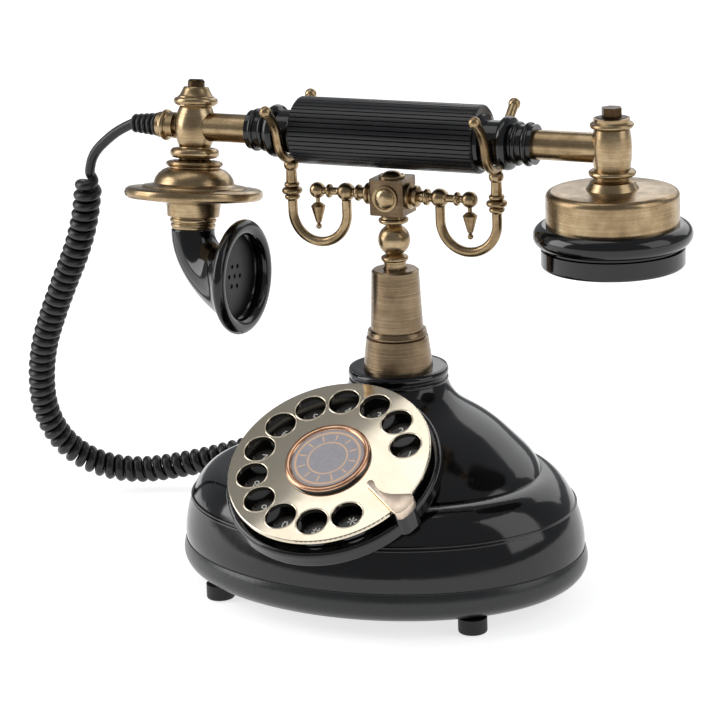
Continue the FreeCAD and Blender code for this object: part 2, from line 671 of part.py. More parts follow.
def make_dial_works():
    flange = d.wheel_thick + d.flange_thick
    low = d.frame_depth + d.frame_thick
    slip = d.shaft_radius + d.run_gap
    dial_turned([
        (0, -d.shaft_length), (d.shaft_radius, -d.shaft_length), (d.shaft_radius, -flange),
        (d.flange_radius, -flange), (d.flange_radius, -d.wheel_thick), (0, -d.wheel_thick),
    ], "dial_shaft")
    gear_low = d.gear_depth + d.gear_thick
    gear = toothed(d.gear_teeth, as_size(0), d.shaft_radius + d.fit_gap)
    node(on_dial(gear, depth=gear_low), "main_gear")
    pinion = toothed(d.pinion_teeth, 180 / d.pinion_teeth, d.arbor_radius / 2)
    on_dial(pinion, pinion_x, 0, gear_low)
    arbor_top = d.cup_depth - d.cup_floor / 2
    arbor = dial_turned([(0, -low), (d.arbor_radius, -low), (d.arbor_radius, -arbor_top), (0, -arbor_top)],
                        x=pinion_x)
    cam = dial_cylinder(d.cam_radius, gear_low + d.cam_thick, d.cam_thick, pinion_x + d.cam_throw)
    node(fused(pinion, arbor, cam), "pulse_pinion")
    plate = dial_turned([(slip, -low), (d.frame_radius, -low), (d.frame_radius, -d.frame_depth),
                         (slip, -d.frame_depth)])
    posts = []
    for angle in POST_ANGLES:
        x, y = polar(d.post_circle, as_size(angle))
        post_low = low - d.frame_thick / 2
        posts.append(dial_cylinder(d.post_radius, post_low, post_low - d.cup_depth, x, y))
    arbor_hole = dial_cylinder(d.arbor_radius + d.run_gap, low * 2, low * 2, pinion_x)
    node(cut(fused(plate, *posts), arbor_hole), "dial_frame")
    spring_top = d.frame_depth - d.coil_spring_thick
    dial_turned([
        (d.coil_spring_bore, -d.frame_depth), (d.coil_spring_radius, -d.frame_depth),
        (d.coil_spring_radius, -spring_top), (d.coil_spring_bore, -spring_top),
    ], "return_spring")
    leaf = d.cam_radius + d.cam_throw + d.contact_gap
    block = dial_bar(leaf + d.contact_leaf / 2, d.contact_block, d.frame_depth, gear_low + d.contact_gap)
    blade = dial_bar(leaf, d.contact_leaf, d.frame_depth - d.contact_gap, gear_low + d.contact_gap * 1.5)
    node(fused(block, blade), "contact_springs")


def dial_bar(near, thick, low, high):
    """A bar of the contact set, beside the pulse cam, between two depths below the wheel."""
    half = d.contact_half
    bar = padded([(pinion_x - half, near), (pinion_x + half, near), (pinion_x + half, near + thick),
                  (pinion_x - half, near + thick)], -low, -high)
    return on_dial(bar)


def ball(radius, z):
    """Two profile points with the outside of a ball between them."""
    return [(radius * 0.478, z - radius * 0.878, 0.595), (radius * 0.478, z + radius * 0.878)]


def bead(radius, z, half):
    """Two profile points with a half-round ring between them."""
    foot = radius - as_size(half) * BEAD_BULGE
    return [(foot, z - half, BEAD_BULGE), (foot, z + half)]


def make_stem():
    z = d.stem_ball_z
    half = d.bead_half
    ring = d.stem_radius + half
    under = z - d.stem_ball_radius - half
    over = z + d.stem_ball_radius + half
    top = d.block_z - d.block_side / 2
    on_column([
        (0, d.stem_foot_z), (d.stem_radius, d.stem_foot_z), (d.stem_radius, under - half * 2),
        *bead(ring, under, half), *ball(d.stem_ball_radius, z), (d.stem_radius - half, over - half * 1.2),
        *bead(ring + half / 2, over + half / 2, half), (d.stem_radius, top), (0, top),
    ], "cradle_stem")


def make_block():
    half = d.block_side / 2
    corner = half - d.block_round
    block = padded([
        (-corner, -half), (corner, -half), (half, -corner), (half, corner), (corner, half), (-corner, half),
        (-half, corner), (-half, -corner),
    ], -half, half)
    place(block, (d.column_x, column_y, d.block_z))
    node(block, "cradle_block")
    rim = d.boss_radius
    edge = d.edge
    profile = [(0, 0), (rim, 0), (rim, edge), (rim - edge, edge * 1.2), (rim - edge * 1.4, edge, 0.25),
               (edge, d.boss_dome), (0, d.boss_dome)]
    bosses = []
    spots = ((-half, 0, (1, 0, 0), 90), (half, 0, (-1, 0, 0), 90), (0, half, (1, 0, 0), 0))
    for back, up, axis, turn in spots:
        boss = turned(profile)
        place(boss, (d.column_x, column_y + back, d.block_z + up), axis, turn)
        bosses.append(boss)
    node(group(*bosses), "block_bosses")


def sideways(profile, side, z):
    """A piece turned about the X axis through the column, reaching out to one side."""
    piece = turned(profile)
    place(piece, (d.column_x, column_y, z), (0, 1, 0), 90 * side)
    return piece


def make_arm(side, word):
    rod = d.arm_radius
    half = d.bead_half
    start = d.block_side / 2
    middle = (start + d.tee_x) / 2
    between = (d.tee_x + d.finial_x) / 2
    arm = sideways([
        (0, start), (d.boss_radius, start), (d.boss_radius, start + half), (rod + half, start + half * 1.8),
        *bead(rod + half * 2, start + half * 3, half),
        (rod, start + half * 4.4), *bead(rod + half, middle + half, half * 0.9),
        (rod * 0.8, middle + half * 2.5),
        *ball(d.tee_radius, d.tee_x), (rod * 0.7, d.tee_x + d.tee_radius), (rod * 0.7, between),
        *bead(rod + half / 2, between + half, half * 0.8), (rod * 0.6, between + half * 2.4),
        *ball(d.finial_radius, d.finial_x), (0, d.finial_x + d.finial_radius),
    ], side, d.block_z)
    node(arm, f"{word}_arm")
    tip = d.drop_radius * 0.4
    low = -d.finial_radius - d.drop_length
    top = d.rest_gap - d.finial_radius
    drop = turned([
        (0, low - tip * 0.9), *ball(tip, low), (tip, low + tip * 1.6),
        (d.drop_radius, low + d.drop_length * 0.72), (d.drop_radius * 0.6, low + d.drop_length * 0.82),
        (tip * 0.7, low + d.drop_length * 0.86), (tip * 0.7, top), (0, top),
    ])
    place(drop, (d.column_x + d.finial_x * side, column_y, d.block_z))
    node(drop, f"{word}_drop")


def make_hook(side, word):
    bend = d.fork_x - d.tee_x
    top = d.rest_gap - d.tee_radius
    low = bend / 2 - d.hook_depth - top
    hook = pipe([
        (0, 0), (0, low, side * QUARTER_BULGE), (bend / 2 * side, low - bend / 2, side * QUARTER_BULGE),
        (bend * side, low), (bend * side, fork_foot - d.block_z - top),
    ], "XZ_Plane", "XY_Plane", d.hook_rod_radius)
    place(hook, (d.column_x + d.tee_x * side, column_y, d.block_z + top))
    node(hook, f"{word}_hook")


def make_fork(side, word):
    rod = d.fork_rod_radius
    half = d.bead_half
    around = d.neck_groove_radius + d.rest_gap + rod
    low = d.handset_z - around
    ring = d.fork_ring_radius
    stem = turned([
        (0, fork_foot), (rod, fork_foot), *bead(ring - half, fork_foot + half * 1.4, half),
        *bead(ring, fork_foot + half * 3.8, half * 1.2), *bead(ring - half, fork_foot + half * 6.2, half),
        (rod + half / 3, fork_foot + half * 8), (rod, low), (0, low),
    ])
    x = d.column_x + d.fork_x * side
    place(stem, (x, column_y, 0))
    pieces = [stem]
    turn = d.fork_sweep_angle
    end = d.fork_flare_angle
    arc_y = around * sine(turn)
    arc_z = around - around * cosine(turn)
    flare_y = arc_y + d.fork_flare_radius * (sine(turn) - sine(end))
    flare_z = arc_z + d.fork_flare_radius * (cosine(end) - cosine(turn))
    tip_y = flare_y + d.fork_tip * cosine(end)
    tip_z = flare_z + d.fork_tip * sine(end)
    for way in (-1, 1):
        bend = way * math.tan(math.radians(turn.value / 4))
        flare = -way * math.tan(math.radians((turn.value - end.value) / 4))
        prong = pipe([
            (0, 0, bend, around), (arc_y * way, arc_z, flare, d.fork_flare_radius),
            (flare_y * way, flare_z), (tip_y * way, tip_z),
        ], "YZ_Plane", "XZ_Plane", rod)
        place(prong, (x, column_y, low))
        knob = solid("Sphere", (x, column_y + tip_y * way, low + tip_z), Radius=d.fork_tip_radius)
        pieces += [prong, knob]
    node(fused(*pieces), f"{word}_fork")


def make_grip():
    bore = d.tube_radius + d.fit_gap
    edge = d.edge
    ring = d.bead_half
    half = d.grip_half
    wide = d.grip_radius
    node(sideways([
        (bore, -half), (wide - edge, -half), (wide, edge - half), (wide, half - edge), (wide - edge, half),
        (bore, half),
    ], 1, d.handset_z), "grip")
    inner = d.tube_radius - d.tube_wall
    left = d.tube_seat - d.mouth_x
    right = d.ear_x - d.tube_seat
    tube = [(inner, left), (d.tube_radius, left), (d.tube_radius, right), (inner, right)]
    node(sideways(tube, 1, d.handset_z), "handset_tube")
    groove = d.neck_groove_radius
    bulge = d.ferrule_bulge
    first = d.fork_x - d.neck_groove_half
    last = d.fork_x + d.neck_groove_half
    finish = half + d.ferrule_length
    for side, name in ((-1, "mouth_ferrule"), (1, "ear_ferrule")):
        node(sideways([
            (bore, half), (bulge + edge / 2, half), (bulge, first - edge), (groove, first), (groove, last),
            (bulge - edge, last + edge, 0.35), (bulge - edge, last + edge * 5.6),
            (groove - edge, last + edge * 6.5), (groove - edge, last + edge * 7.4),
            *bead(groove, last + edge * 9, ring), (d.ferrule_end - edge / 2, last + edge * 10.8),
            (d.ferrule_end - edge / 2, finish - ring * 4),
            *bead(d.ferrule_end + edge, finish - ring * 2.6, ring),
            (d.ferrule_end, finish), (bore, finish),
        ], side, d.handset_z), name)


mouth_at = (d.column_x - d.mouth_x, column_y, d.handset_z)
ear_at = (d.column_x + d.ear_x, column_y, d.handset_z)


def on_mouth(thing):
    place(thing, mouth_at, (1, 0, 0), d.mouth_twist_angle)
    return thing


def lying(profile, drop, across=0):
    """A piece turned about a line along X, below and across from its frame's origin."""
    body = doc.addObject("PartDesign::Body", "Lying")
    sketch = new_sketch(body, "XZ_Plane")
    draw(sketch, profile)
    bind(sketch, "AttachmentOffset.Base.y", -as_size(drop))
    bind(sketch, "AttachmentOffset.Base.z", as_size(across))
    revolution = body.newObject("PartDesign::Revolution", "Revolution")
    revolution.Profile = sketch
    revolution.ReferenceAxis = (sketch, ["H_Axis"])
    revolution.Angle = 360
    return body


def rod_profile(first, last, radius):
    return [(first, 0), (last, 0), (last, radius), (first, radius)]


def side_bore(at, side, radius):
    """A cutter along X from near a barrel's axis out through one side."""
    return solid("Cylinder", (at[0] + d.tube_seat * side, at[1], at[2]), (0, 1, 0), 90 * side, Radius=radius,
                 Height=d.tube_radius * 4)


cord_socket = d.cord_radius + d.boss_wall
mouth_flange_z = d.mouth_body_half + d.mouth_skirt


def make_mouth_body():
    half = d.mouth_body_half
    wide = d.mouth_body_radius
    ring = d.bead_half
    waist = wide * 0.75
    barrel = on_mouth(turned([
        (0, -mouth_flange_z), (wide, -mouth_flange_z), (wide, ring - mouth_flange_z),
        (waist, ring * 2 - mouth_flange_z), *bead(wide - ring / 2, -half - ring * 2.2, ring * 1.5),
        (waist, -half, 0.25), (waist, half), (0, half),
    ]))
    tube_hole = side_bore(mouth_at, 1, d.tube_radius + d.fit_gap)
    node(cut(barrel, tube_hole, side_bore(mouth_at, -1, cord_socket)), "mouth_body")
    bore = d.screw_radius + d.fit_gap
    cap_top = half + d.mouth_cap_height
    cap = [
        (bore, half), (waist + ring / 2, half), (waist + ring / 2, half + ring),
        *bead(wide + ring / 2, half + ring * 2.3, ring), (wide - ring, half + ring * 3.8),
        (wide / 2, cap_top), (bore, cap_top),
    ]
    node(on_mouth(turned(cap)), "mouth_cap")
    edge = d.edge
    head = wide / 2 - edge
    head_top = cap_top + d.screw_head
    screw = on_mouth(turned([
        (0, half), (d.screw_radius, half), (d.screw_radius, cap_top), (head, cap_top),
        (head, head_top - edge), (head - edge, head_top), (0, head_top),
    ]))
    slit = edge / 2
    slot = padded([(-wide, -slit), (wide, -slit), (wide, slit), (-wide, slit)],
                  head_top - edge * 1.5, head_top + edge)
    node(cut(screw, on_mouth(slot)), "slotted_screw")


def make_cord_boss():
    hole = d.cord_radius + d.fit_gap
    ring = d.bead_half
    plug = cord_socket - d.fit_gap
    wide = d.boss_flange
    seat = d.mouth_x + d.tube_seat
    start = d.mouth_x + d.mouth_body_radius + d.rest_gap
    flange = d.mouth_x + d.mouth_body_radius + d.boss_length
    node(sideways([
        (hole, seat), (plug, seat), (plug, start), (wide - ring, start), (wide - ring, flange - ring * 4.5),
        *bead(wide, flange - ring * 2.9, ring), (wide - ring, flange - ring * 1.4), (wide - ring, flange),
        (hole, flange),
    ], -1, d.handset_z), "cord_boss")
    pitch = d.relief_length / RELIEF_RIBS
    end = flange + d.relief_length
    ribs = []
    for index in range(RELIEF_RIBS):
        ribs += bead(d.relief_radius - d.edge * 0.3 * index, flange + pitch * (index + 0.5), pitch * 0.36)
    node(sideways([
        (hole, flange), (d.relief_radius - d.edge, flange), *ribs, (d.cord_radius + d.edge, end),
        (hole, end),
    ], -1, d.handset_z), "strain_relief")


def make_mouth_disc():
    wide = d.mouth_disc_radius
    rim = d.mouth_disc_edge
    ring = d.bead_half
    z = -d.mouth_disc_z
    top = -mouth_flange_z
    neck = d.mouth_neck_radius
    foot = -d.mouth_foot_z
    hole = d.elbow_tube - d.elbow_wall * 2
    node(on_mouth(turned([
        (hole, foot), (neck - ring, foot), *bead(neck, foot + ring * 1.4, ring),
        *bead(neck + ring / 2, foot + ring * 3.6, ring), (neck + ring, foot + ring * 5),
        (neck + ring, foot + ring * 8), (neck + ring / 3, foot + ring * 8.8), (neck * 1.6, z - rim - ring),
        *bead(wide, z, rim), (wide * 0.66, z + rim + ring / 2), (wide * 0.6, z + rim + ring * 1.5, 0.2),
        (neck * 1.2, top - ring * 1.8), *bead(neck * 1.35, top - ring * 0.9, ring * 0.8), (neck, top),
        (hole, top),
    ])), "mouth_disc")


def make_elbow():
    bend = d.elbow_radius
    drop = d.mouth_foot_z + bend
    reach = d.cup_reach
    back = d.cup_back
    tube = d.elbow_tube
    rim = d.cup_mouth_radius
    wall = d.elbow_wall
    grille_back = reach - d.grille_recess - d.grille_thick

    def bent(radius, past):
        rod = pipe([(0, 0, QUARTER_BULGE), (bend, -bend), (bend + past, -bend)],
                   "XZ_Plane", "XY_Plane", radius)
        twist = d.mouth_twist_angle
        place(rod, (mouth_at[0], column_y + d.mouth_foot_z * sine(twist),
                    d.handset_z - d.mouth_foot_z * cosine(twist)), (1, 0, 0), twist)
        return rod

    cup = on_mouth(lying([
        (back, 0), (reach, 0), (reach + wall / 2, rim - wall, BEAD_BULGE), (reach - wall, rim, 0.3),
        (reach - wall * 2, rim - wall * 1.2), (reach - wall * 2.6, rim * 0.8, 0.16), (back, tube + wall / 2),
    ], drop))
    hollow = on_mouth(lying([
        (back + wall * 2, 0), (reach + wall * 2, 0), (reach + wall * 2, rim - wall * 1.4),
        (grille_back + d.grille_thick, d.grille_radius + d.fit_gap),
        (grille_back, d.grille_radius + d.fit_gap),
        (grille_back, d.grille_radius - wall), (back + wall * 3, tube - wall / 2),
        (back + wall * 2, tube - wall * 1.5),
    ], drop))
    past = (reach - bend) / 3
    node(cut(fused(bent(tube, past), cup), bent(tube - wall, past * 1.5), hollow), "mouth_elbow")
    disc = on_mouth(lying(rod_profile(grille_back, grille_back + d.grille_thick, d.grille_radius), drop))
    spots = [polar(d.grille_circle, as_size(index * 360 / GRILLE_HOLES)) for index in range(GRILLE_HOLES)]
    holes = []
    for across, up in [(as_size(0), as_size(0))] + spots:
        pin = lying(rod_profile(grille_back - wall, reach, d.grille_hole), drop - up, across)
        holes.append(on_mouth(pin))
    node(cut(disc, *holes), "mouth_grille")
    capsule = rod_profile(grille_back - d.capsule_length, grille_back, d.capsule_radius)
    node(on_mouth(lying(capsule, drop)), "microphone")


def on_ear(profile, name=None):
    piece = turned(profile)
    place(piece, ear_at)
    return node(piece, name) if name else piece


def make_ear_top():
    wide = d.ear_body_radius
    ring = d.bead_half
    waist = wide * 0.85
    top = d.ear_top
    cap_top = -d.ear_cap_top
    low = -d.ear_low
    barrel = on_ear([
        (0, cap_top), (wide + ring * 2, cap_top), (wide + ring / 2, cap_top + ring * 2.7, -0.2),
        (waist, low - ring * 2.4), *bead(wide + ring, low - ring, ring), (waist, low + ring / 3, 0.1),
        (waist, top), (0, top),
    ])
    node(cut(barrel, side_bore(ear_at, -1, d.tube_radius + d.fit_gap)), "ear_barrel")
    bolt = d.bolt_radius
    seat = top + ring * 4
    flange = on_ear([
        (0, top), (waist - ring / 2, top), *bead(wide + ring / 3, top + ring * 1.4, ring),
        (wide - ring, top + ring * 2.9), (wide - ring, seat), (bolt + ring, seat + ring / 2),
        (0, seat + ring / 2),
    ])
    corners = [polar(bolt, as_size(60 * index)) for index in range(6)]
    hexagon = padded(corners, seat, seat + bolt)
    place(hexagon, ear_at)
    node(fused(flange, hexagon), "ear_bolt")
    cap = d.ear_cap_radius
    under = -d.ear_cap_low
    inside = cap - d.wall
    inner_top = cap_top - d.wall
    on_ear([
        (0, inner_top), (inside - d.wall, inner_top - d.wall / 2), (inside, inner_top - d.wall * 2),
        (inside, under),
        (cap, under), (cap, cap_top - d.wall, 0.38), (cap - d.wall * 0.8, cap_top - d.wall * 0.15, 0.02),
        (wide + d.wall, cap_top), (0, cap_top),
    ], "ear_cap")


def make_ear_ring():
    ring = d.ear_ring_radius
    lip = d.ear_lip_radius
    edge = d.edge
    low = -d.ear_cap_low
    foot = -d.ear_bottom
    hole = d.ear_plate_radius + d.fit_gap
    half = d.ear_ring_half
    middle = low - half
    groove = middle - half
    plate_low = foot + d.ear_plate_inset
    seat = plate_low + d.ear_plate_thick
    inner = d.receiver_radius + d.fit_gap
    on_ear([
        (hole, foot + edge), (hole + edge, foot), (lip - edge * 2, foot, QUARTER_BULGE),
        (lip, foot + edge * 2),
        (lip, groove - edge * 1.5), (lip - edge * 1.5, groove - edge), (lip - edge * 1.5, groove),
        *bead(ring, middle, half), (inner, low), (inner, seat), (hole, seat),
    ], "ear_ring")
    plate = on_ear([(0, plate_low), (d.ear_plate_radius, plate_low), (d.ear_plate_radius, seat), (0, seat)])
    holes = []
    for index in range(GRILLE_HOLES):
        x, y = polar(d.grille_circle, as_size(index * 360 / GRILLE_HOLES))
        holes.append(solid("Cylinder", (ear_at[0] + x, column_y + y, d.handset_z + foot),
                           Radius=d.grille_hole, Height=d.ear_plate_inset * 2 + d.ear_plate_thick))
    node(cut(plate, *holes), "ear_plate")
    top = seat + d.receiver_height
    on_ear([(0, seat), (d.receiver_radius, seat), (d.receiver_radius, top), (0, top)], "receiver")


def rounded_route(points):
    """Straight runs joined by tangent arcs, each as wide as 0.45 of its shorter run allows."""
    edges = []
    radii = []
    start = points[0]
    for before, corner, after in zip(points, points[1:], points[2:]):
        come = (corner - before).normalize()
        leave = (after - corner).normalize()
        half_turn = come.getAngle(leave) / 2
        reach = 0.45 * min((corner - before).Length, (after - corner).Length)
        radius = reach / math.tan(half_turn)
        first = corner - come * reach
        last = corner + leave * reach
        inward = (leave - come).normalize()
        middle = corner + inward * (radius / math.cos(half_turn) - radius)
        edges.append(Part.LineSegment(start, first).toShape())
        edges.append(Part.Arc(first, middle, last).toShape())
        radii.append(radius)
        start = last
    edges.append(Part.LineSegment(start, points[-1]).toShape())
    return Part.Wire(edges), radii


def cord_tube(name, points, radius):
    shift = Vector(d.column_x.value, d.base_y.value, 0)
    route, radii = rounded_route([Vector(*p) + shift for p in points])
    direction = route.Edges[0].tangentAt(route.Edges[0].FirstParameter)
    circle = Part.Wire(Part.Circle(route.Vertexes[0].Point, direction, radius.value).toShape())
    tube = doc.addObject("Part::Feature", "Cord")
    tube.Shape = route.makePipeShell([circle], True, False)
    expected = math.pi * radius.value ** 2 * route.Length
    print(name, "radii", [round(r, 1) for r in radii], "length", round(route.Length, 1),
          "volume ratio", round(tube.Shape.Volume / expected, 4))
    node(tube, name)


# The curly cord's route, measured from the middle of the base on the table.
LEAD_POINTS = [(-121.0, 20.8, 186.4), (-128.5, 20.8, 184.6), (-136.5, 20.8, 179.8), (-143.0, 20.8, 174.0),
               (-145.75, 20.8, 167.6)]
COIL_POINTS = [(-146.0, 20.8, 167.0), (-152.5, 25.0, 136.0), (-172.9, 32.0, 101.0), (-186.8, 38.7, 72.0),
               (-192.0, 47.9, 43.9), (-182.7, 59.9, 23.4), (-162.6, 71.3, 12.8), (-132.0, 80.7, 16.5),
               (-104.0, 86.0, 22.5), (-80.0, 88.5, 26.0)]
TAIL_POINTS = [(-79.7, 88.55, 26.0), (-68.0, 90.0, 27.0), (-55.0, 91.8, 27.6), (-43.0, 92.5, 28.0),
               (-33.5, 89.5, 28.0), (-27.5, 82.5, 28.0), (-26.0, 74.2, 28.0)]


def check_document():
    for thing in doc.Objects:
        if "Invalid" in thing.State or "Error" in thing.State:
            raise RuntimeError(f"{thing.Label} failed: {thing.State}")
    for thing in nodes:
        if thing.Shape.isNull() or not thing.Shape.isValid():
            raise RuntimeError(f"{thing.Label} has no valid shape")
        for piece in thing.Shape.Solids:
            if piece.Volume <= 0:
                raise RuntimeError(f"{thing.Label} holds an empty solid")


make_base_shell()
make_base_tray()
make_feet_and_screws()
make_column()
make_inside()
make_finger_wheel()
make_hub()
make_dial_case()
make_dial_works()
make_stem()
make_block()
for side, word in ((-1, "left"), (1, "right")):
    make_arm(side, word)
    make_hook(side, word)
    make_fork(side, word)
make_grip()
make_mouth_body()
make_cord_boss()
make_mouth_disc()
make_elbow()
make_ear_top()
make_ear_ring()
cord_tube("cord_lead", LEAD_POINTS, d.cord_radius)
cord_tube("cord_coil", COIL_POINTS, d.coil_radius)
cord_tube("cord_tail", TAIL_POINTS, d.cord_radius)
doc.recompute()
check_document()
os.makedirs("parts", exist_ok=True)
for thing in nodes:
    thing.Shape.exportStep(f"parts/{thing.Label}.step")
print(len(nodes), "nodes written")
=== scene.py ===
import bpy
import math
from mathutils import Matrix, Quaternion, Vector


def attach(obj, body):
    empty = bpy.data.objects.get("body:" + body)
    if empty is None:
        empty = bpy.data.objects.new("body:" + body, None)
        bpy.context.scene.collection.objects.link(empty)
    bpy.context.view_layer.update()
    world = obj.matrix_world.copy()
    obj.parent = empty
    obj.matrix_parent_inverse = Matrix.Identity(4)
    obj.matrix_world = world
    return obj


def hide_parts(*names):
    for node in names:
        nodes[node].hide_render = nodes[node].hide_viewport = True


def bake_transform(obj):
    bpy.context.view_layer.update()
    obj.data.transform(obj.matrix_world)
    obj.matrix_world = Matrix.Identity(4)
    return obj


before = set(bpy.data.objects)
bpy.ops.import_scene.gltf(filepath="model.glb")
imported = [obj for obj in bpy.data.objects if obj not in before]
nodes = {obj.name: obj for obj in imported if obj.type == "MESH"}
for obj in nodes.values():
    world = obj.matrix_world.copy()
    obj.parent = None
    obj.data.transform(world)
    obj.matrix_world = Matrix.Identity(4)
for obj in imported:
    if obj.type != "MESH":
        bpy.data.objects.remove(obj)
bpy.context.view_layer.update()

mm = 0.001  # pieces are given in millimetres; stage, lamps and camera in metres
sameSpot = 1e-6  # points nearer than this, in metres, are one
columnX, baseY, columnY, handsetZ = -3.7, 8.9, 29.7, 186.4  # where the part's pieces stand, in millimetres
dialForward, dialZ = 48.8, 68.6
dialTilt = math.radians(31.5)
dialMiddle = Vector((columnX, baseY - dialForward, dialZ)) * mm
dialPlace = Matrix.Translation(dialMiddle) @ Matrix.Rotation(dialTilt, 4, "X")
print("frame loaded:", len(nodes), "nodes")


def deselectAll():
    if bpy.context.object and bpy.context.object.mode != "OBJECT":
        bpy.ops.object.mode_set(mode="OBJECT")
    bpy.ops.object.select_all(action="DESELECT")


def linear(hexText):  # sRGB hex to linear colour
    values = [int(hexText[i:i + 2], 16) / 255 for i in (1, 3, 5)]
    return tuple(v / 12.92 if v <= 0.04045 else ((v + 0.055) / 1.055) ** 2.4 for v in values) + (1.0,)


def addNode(tree, kind, settings=None, links=None, stops=()):  # one node, its settings, links and stops
    node = tree.nodes.new(kind)
    for key, value in (settings or {}).items():
        setattr(node, key, value)
    for socket, value in (links or {}).items():
        if isinstance(value, bpy.types.NodeSocket):
            tree.links.new(value, node.inputs[socket])
        else:
            node.inputs[socket].default_value = value
    while stops and len(node.color_ramp.elements) < len(stops):
        node.color_ramp.elements.new(0.5)
    for index, (position, hexText) in enumerate(stops):
        node.color_ramp.elements[index].position = position
        node.color_ramp.elements[index].color = linear(hexText)
    return node


def startMaterial(name, sockets):  # sockets holds the shader's uniform values
    material = bpy.data.materials.new(name)
    material.use_nodes = True
    tree = material.node_tree
    tree.nodes.clear()
    shader = addNode(tree, "ShaderNodeBsdfPrincipled", links=sockets)
    addNode(tree, "ShaderNodeOutputMaterial", links={"Surface": shader.outputs["BSDF"]})
    return material, tree, shader


# What most moulded and plated surfaces share; spans are the noise values between which the look changes
usualLook = {
    "cloudDetail": 4.0, "cloudRough": 0.55, "toneSpan": (0.3, 0.7), "glossSpan": (0.3, 0.7),
    "grainDetail": 2.0, "grainRough": 0.55,
}


def makeSurface(name, ownLook, sockets):  # one noise gives colour and gloss, a second one the grain
    look = {**usualLook, **ownLook}
    material, tree, shader = startMaterial(name, sockets)
    coords = addNode(tree, "ShaderNodeTexCoord").outputs["Object"]
    cloud = addNode(tree, "ShaderNodeTexNoise", links={
        "Vector": coords, "Scale": 1 / (look["cloudMm"] * mm),
        "Detail": look["cloudDetail"], "Roughness": look["cloudRough"]}).outputs["Fac"]
    toneStops = list(zip(look["toneSpan"], look["tones"]))
    tone = addNode(tree, "ShaderNodeValToRGB", links={"Fac": cloud}, stops=toneStops)
    gloss = addNode(tree, "ShaderNodeMapRange", links={
        "Value": cloud, "From Min": look["glossSpan"][0], "From Max": look["glossSpan"][1],
        "To Min": look["roughness"][0], "To Max": look["roughness"][1]})
    tree.links.new(tone.outputs["Color"], shader.inputs["Base Color"])
    tree.links.new(gloss.outputs["Result"], shader.inputs["Roughness"])
    if "grainMm" in look:
        grain = addNode(tree, "ShaderNodeTexNoise", links={
            "Vector": coords, "Scale": 1 / (look["grainMm"] * mm),
            "Detail": look["grainDetail"], "Roughness": look["grainRough"]}).outputs["Fac"]
        bump = addNode(tree, "ShaderNodeBump", links={
            "Height": grain, "Distance": look["depthMm"] * mm, "Strength": 1.0})
        tree.links.new(bump.outputs["Normal"], shader.inputs["Normal"])
    return material


# Polished ABS from a mirror mould: deep gloss, the slow waviness of a moulding, faint handling haze
polishedAbs = makeSurface("polishedBlackAbs", {
    "tones": ("#070708", "#0e0e10"), "toneSpan": (0.3, 0.75),
    "roughness": (0.08, 0.16), "glossSpan": (0.35, 0.8),
    "cloudMm": 22.0, "grainMm": 14.0, "grainDetail": 1.0, "depthMm": 0.02}, {"IOR": 1.53})

# Satin ABS from a spark-eroded mould: a soft grey sheen, grit drawn at 0.5 mm so that it shows
satinAbs = makeSurface("satinBlackAbs", {
    "tones": ("#232424", "#2b2c2c"), "toneSpan": (0.3, 0.75),
    "roughness": (0.24, 0.34), "glossSpan": (0.3, 0.75),
    "cloudMm": 18.0, "grainMm": 0.5, "depthMm": 0.012}, {"IOR": 1.53})

# Satin ABS of the grip: even sheen along the ribs with a faint unevenness
gripAbs = makeSurface("satinGripAbs", {
    "tones": ("#101012", "#171719"), "roughness": (0.24, 0.34),
    "cloudMm": 36.0, "grainMm": 3.0, "depthMm": 0.004}, {"IOR": 1.5})

# Textured ABS behind the sound holes: dull, with a fine grit
mattAbs = makeSurface("mattBlackAbs", {
    "tones": ("#151516", "#1d1d1f"), "roughness": (0.42, 0.52),
    "cloudMm": 7.2, "grainMm": 0.6, "depthMm": 0.02}, {"IOR": 1.5})

# Lacquered number plate: dark gloss under the finger holes
numberBlack = makeSurface("glossBlackPlate", {
    "tones": ("#060607", "#0b0b0c"), "roughness": (0.1, 0.2),
    "cloudMm": 36.0, "grainMm": 3.0, "depthMm": 0.005}, {"IOR": 1.5})

# Extruded PVC of the cord: satin skin with a fine drawn grain
cordPvc = makeSurface("blackCordPvc", {
    "tones": ("#0c0c0d", "#141416"), "roughness": (0.3, 0.4),
    "cloudMm": 6.0, "grainMm": 0.5, "depthMm": 0.01}, {"IOR": 1.5})

# Moulded rubber: dull black with a coarse skin
footRubber = makeSurface("blackFootRubber", {
    "tones": ("#0b0b0b", "#141414"), "roughness": (0.5, 0.6),
    "cloudMm": 8.4, "grainMm": 0.7, "depthMm": 0.04}, {"IOR": 1.5})

# Screen-printed ink: flat white with a slight mottle
whiteInk = makeSurface("printedWhiteInk", {
    "tones": ("#dddbd4", "#f2f0ea"), "roughness": (0.5, 0.6),
    "cloudMm": 3.6, "grainMm": 0.3, "depthMm": 0.005}, {"IOR": 1.5})

# Moulded nylon of the inner blocks: grey and dull
innerNylon = makeSurface("greyNylon", {
    "tones": ("#4e4e4d", "#6a6a68"), "roughness": (0.45, 0.55),
    "cloudMm": 7.2, "grainMm": 0.6, "depthMm": 0.02}, {"IOR": 1.5})

# Circuit board under solder lacquer: mottled green
innerBoard = makeSurface("greenCircuitBoard", {
    "tones": ("#174a2d", "#1f5a38"), "roughness": (0.4, 0.5),
    "cloudMm": 9.6, "grainMm": 0.8, "depthMm": 0.01}, {"IOR": 1.5})

# Pale gold plating of the finger wheel: near mirror, with cloudy rubbed patches and a slight waviness
paleGold = makeSurface("palePolishedGold", {
    "tones": ("#ddd0b8", "#ebe1cd"), "toneSpan": (0.3, 0.75),
    "roughness": (0.07, 0.04), "glossSpan": (0.35, 0.7),
    "cloudMm": 16.0, "cloudDetail": 5.0, "cloudRough": 0.65,
    "grainMm": 30.0, "depthMm": 0.02}, {"Metallic": 1.0})

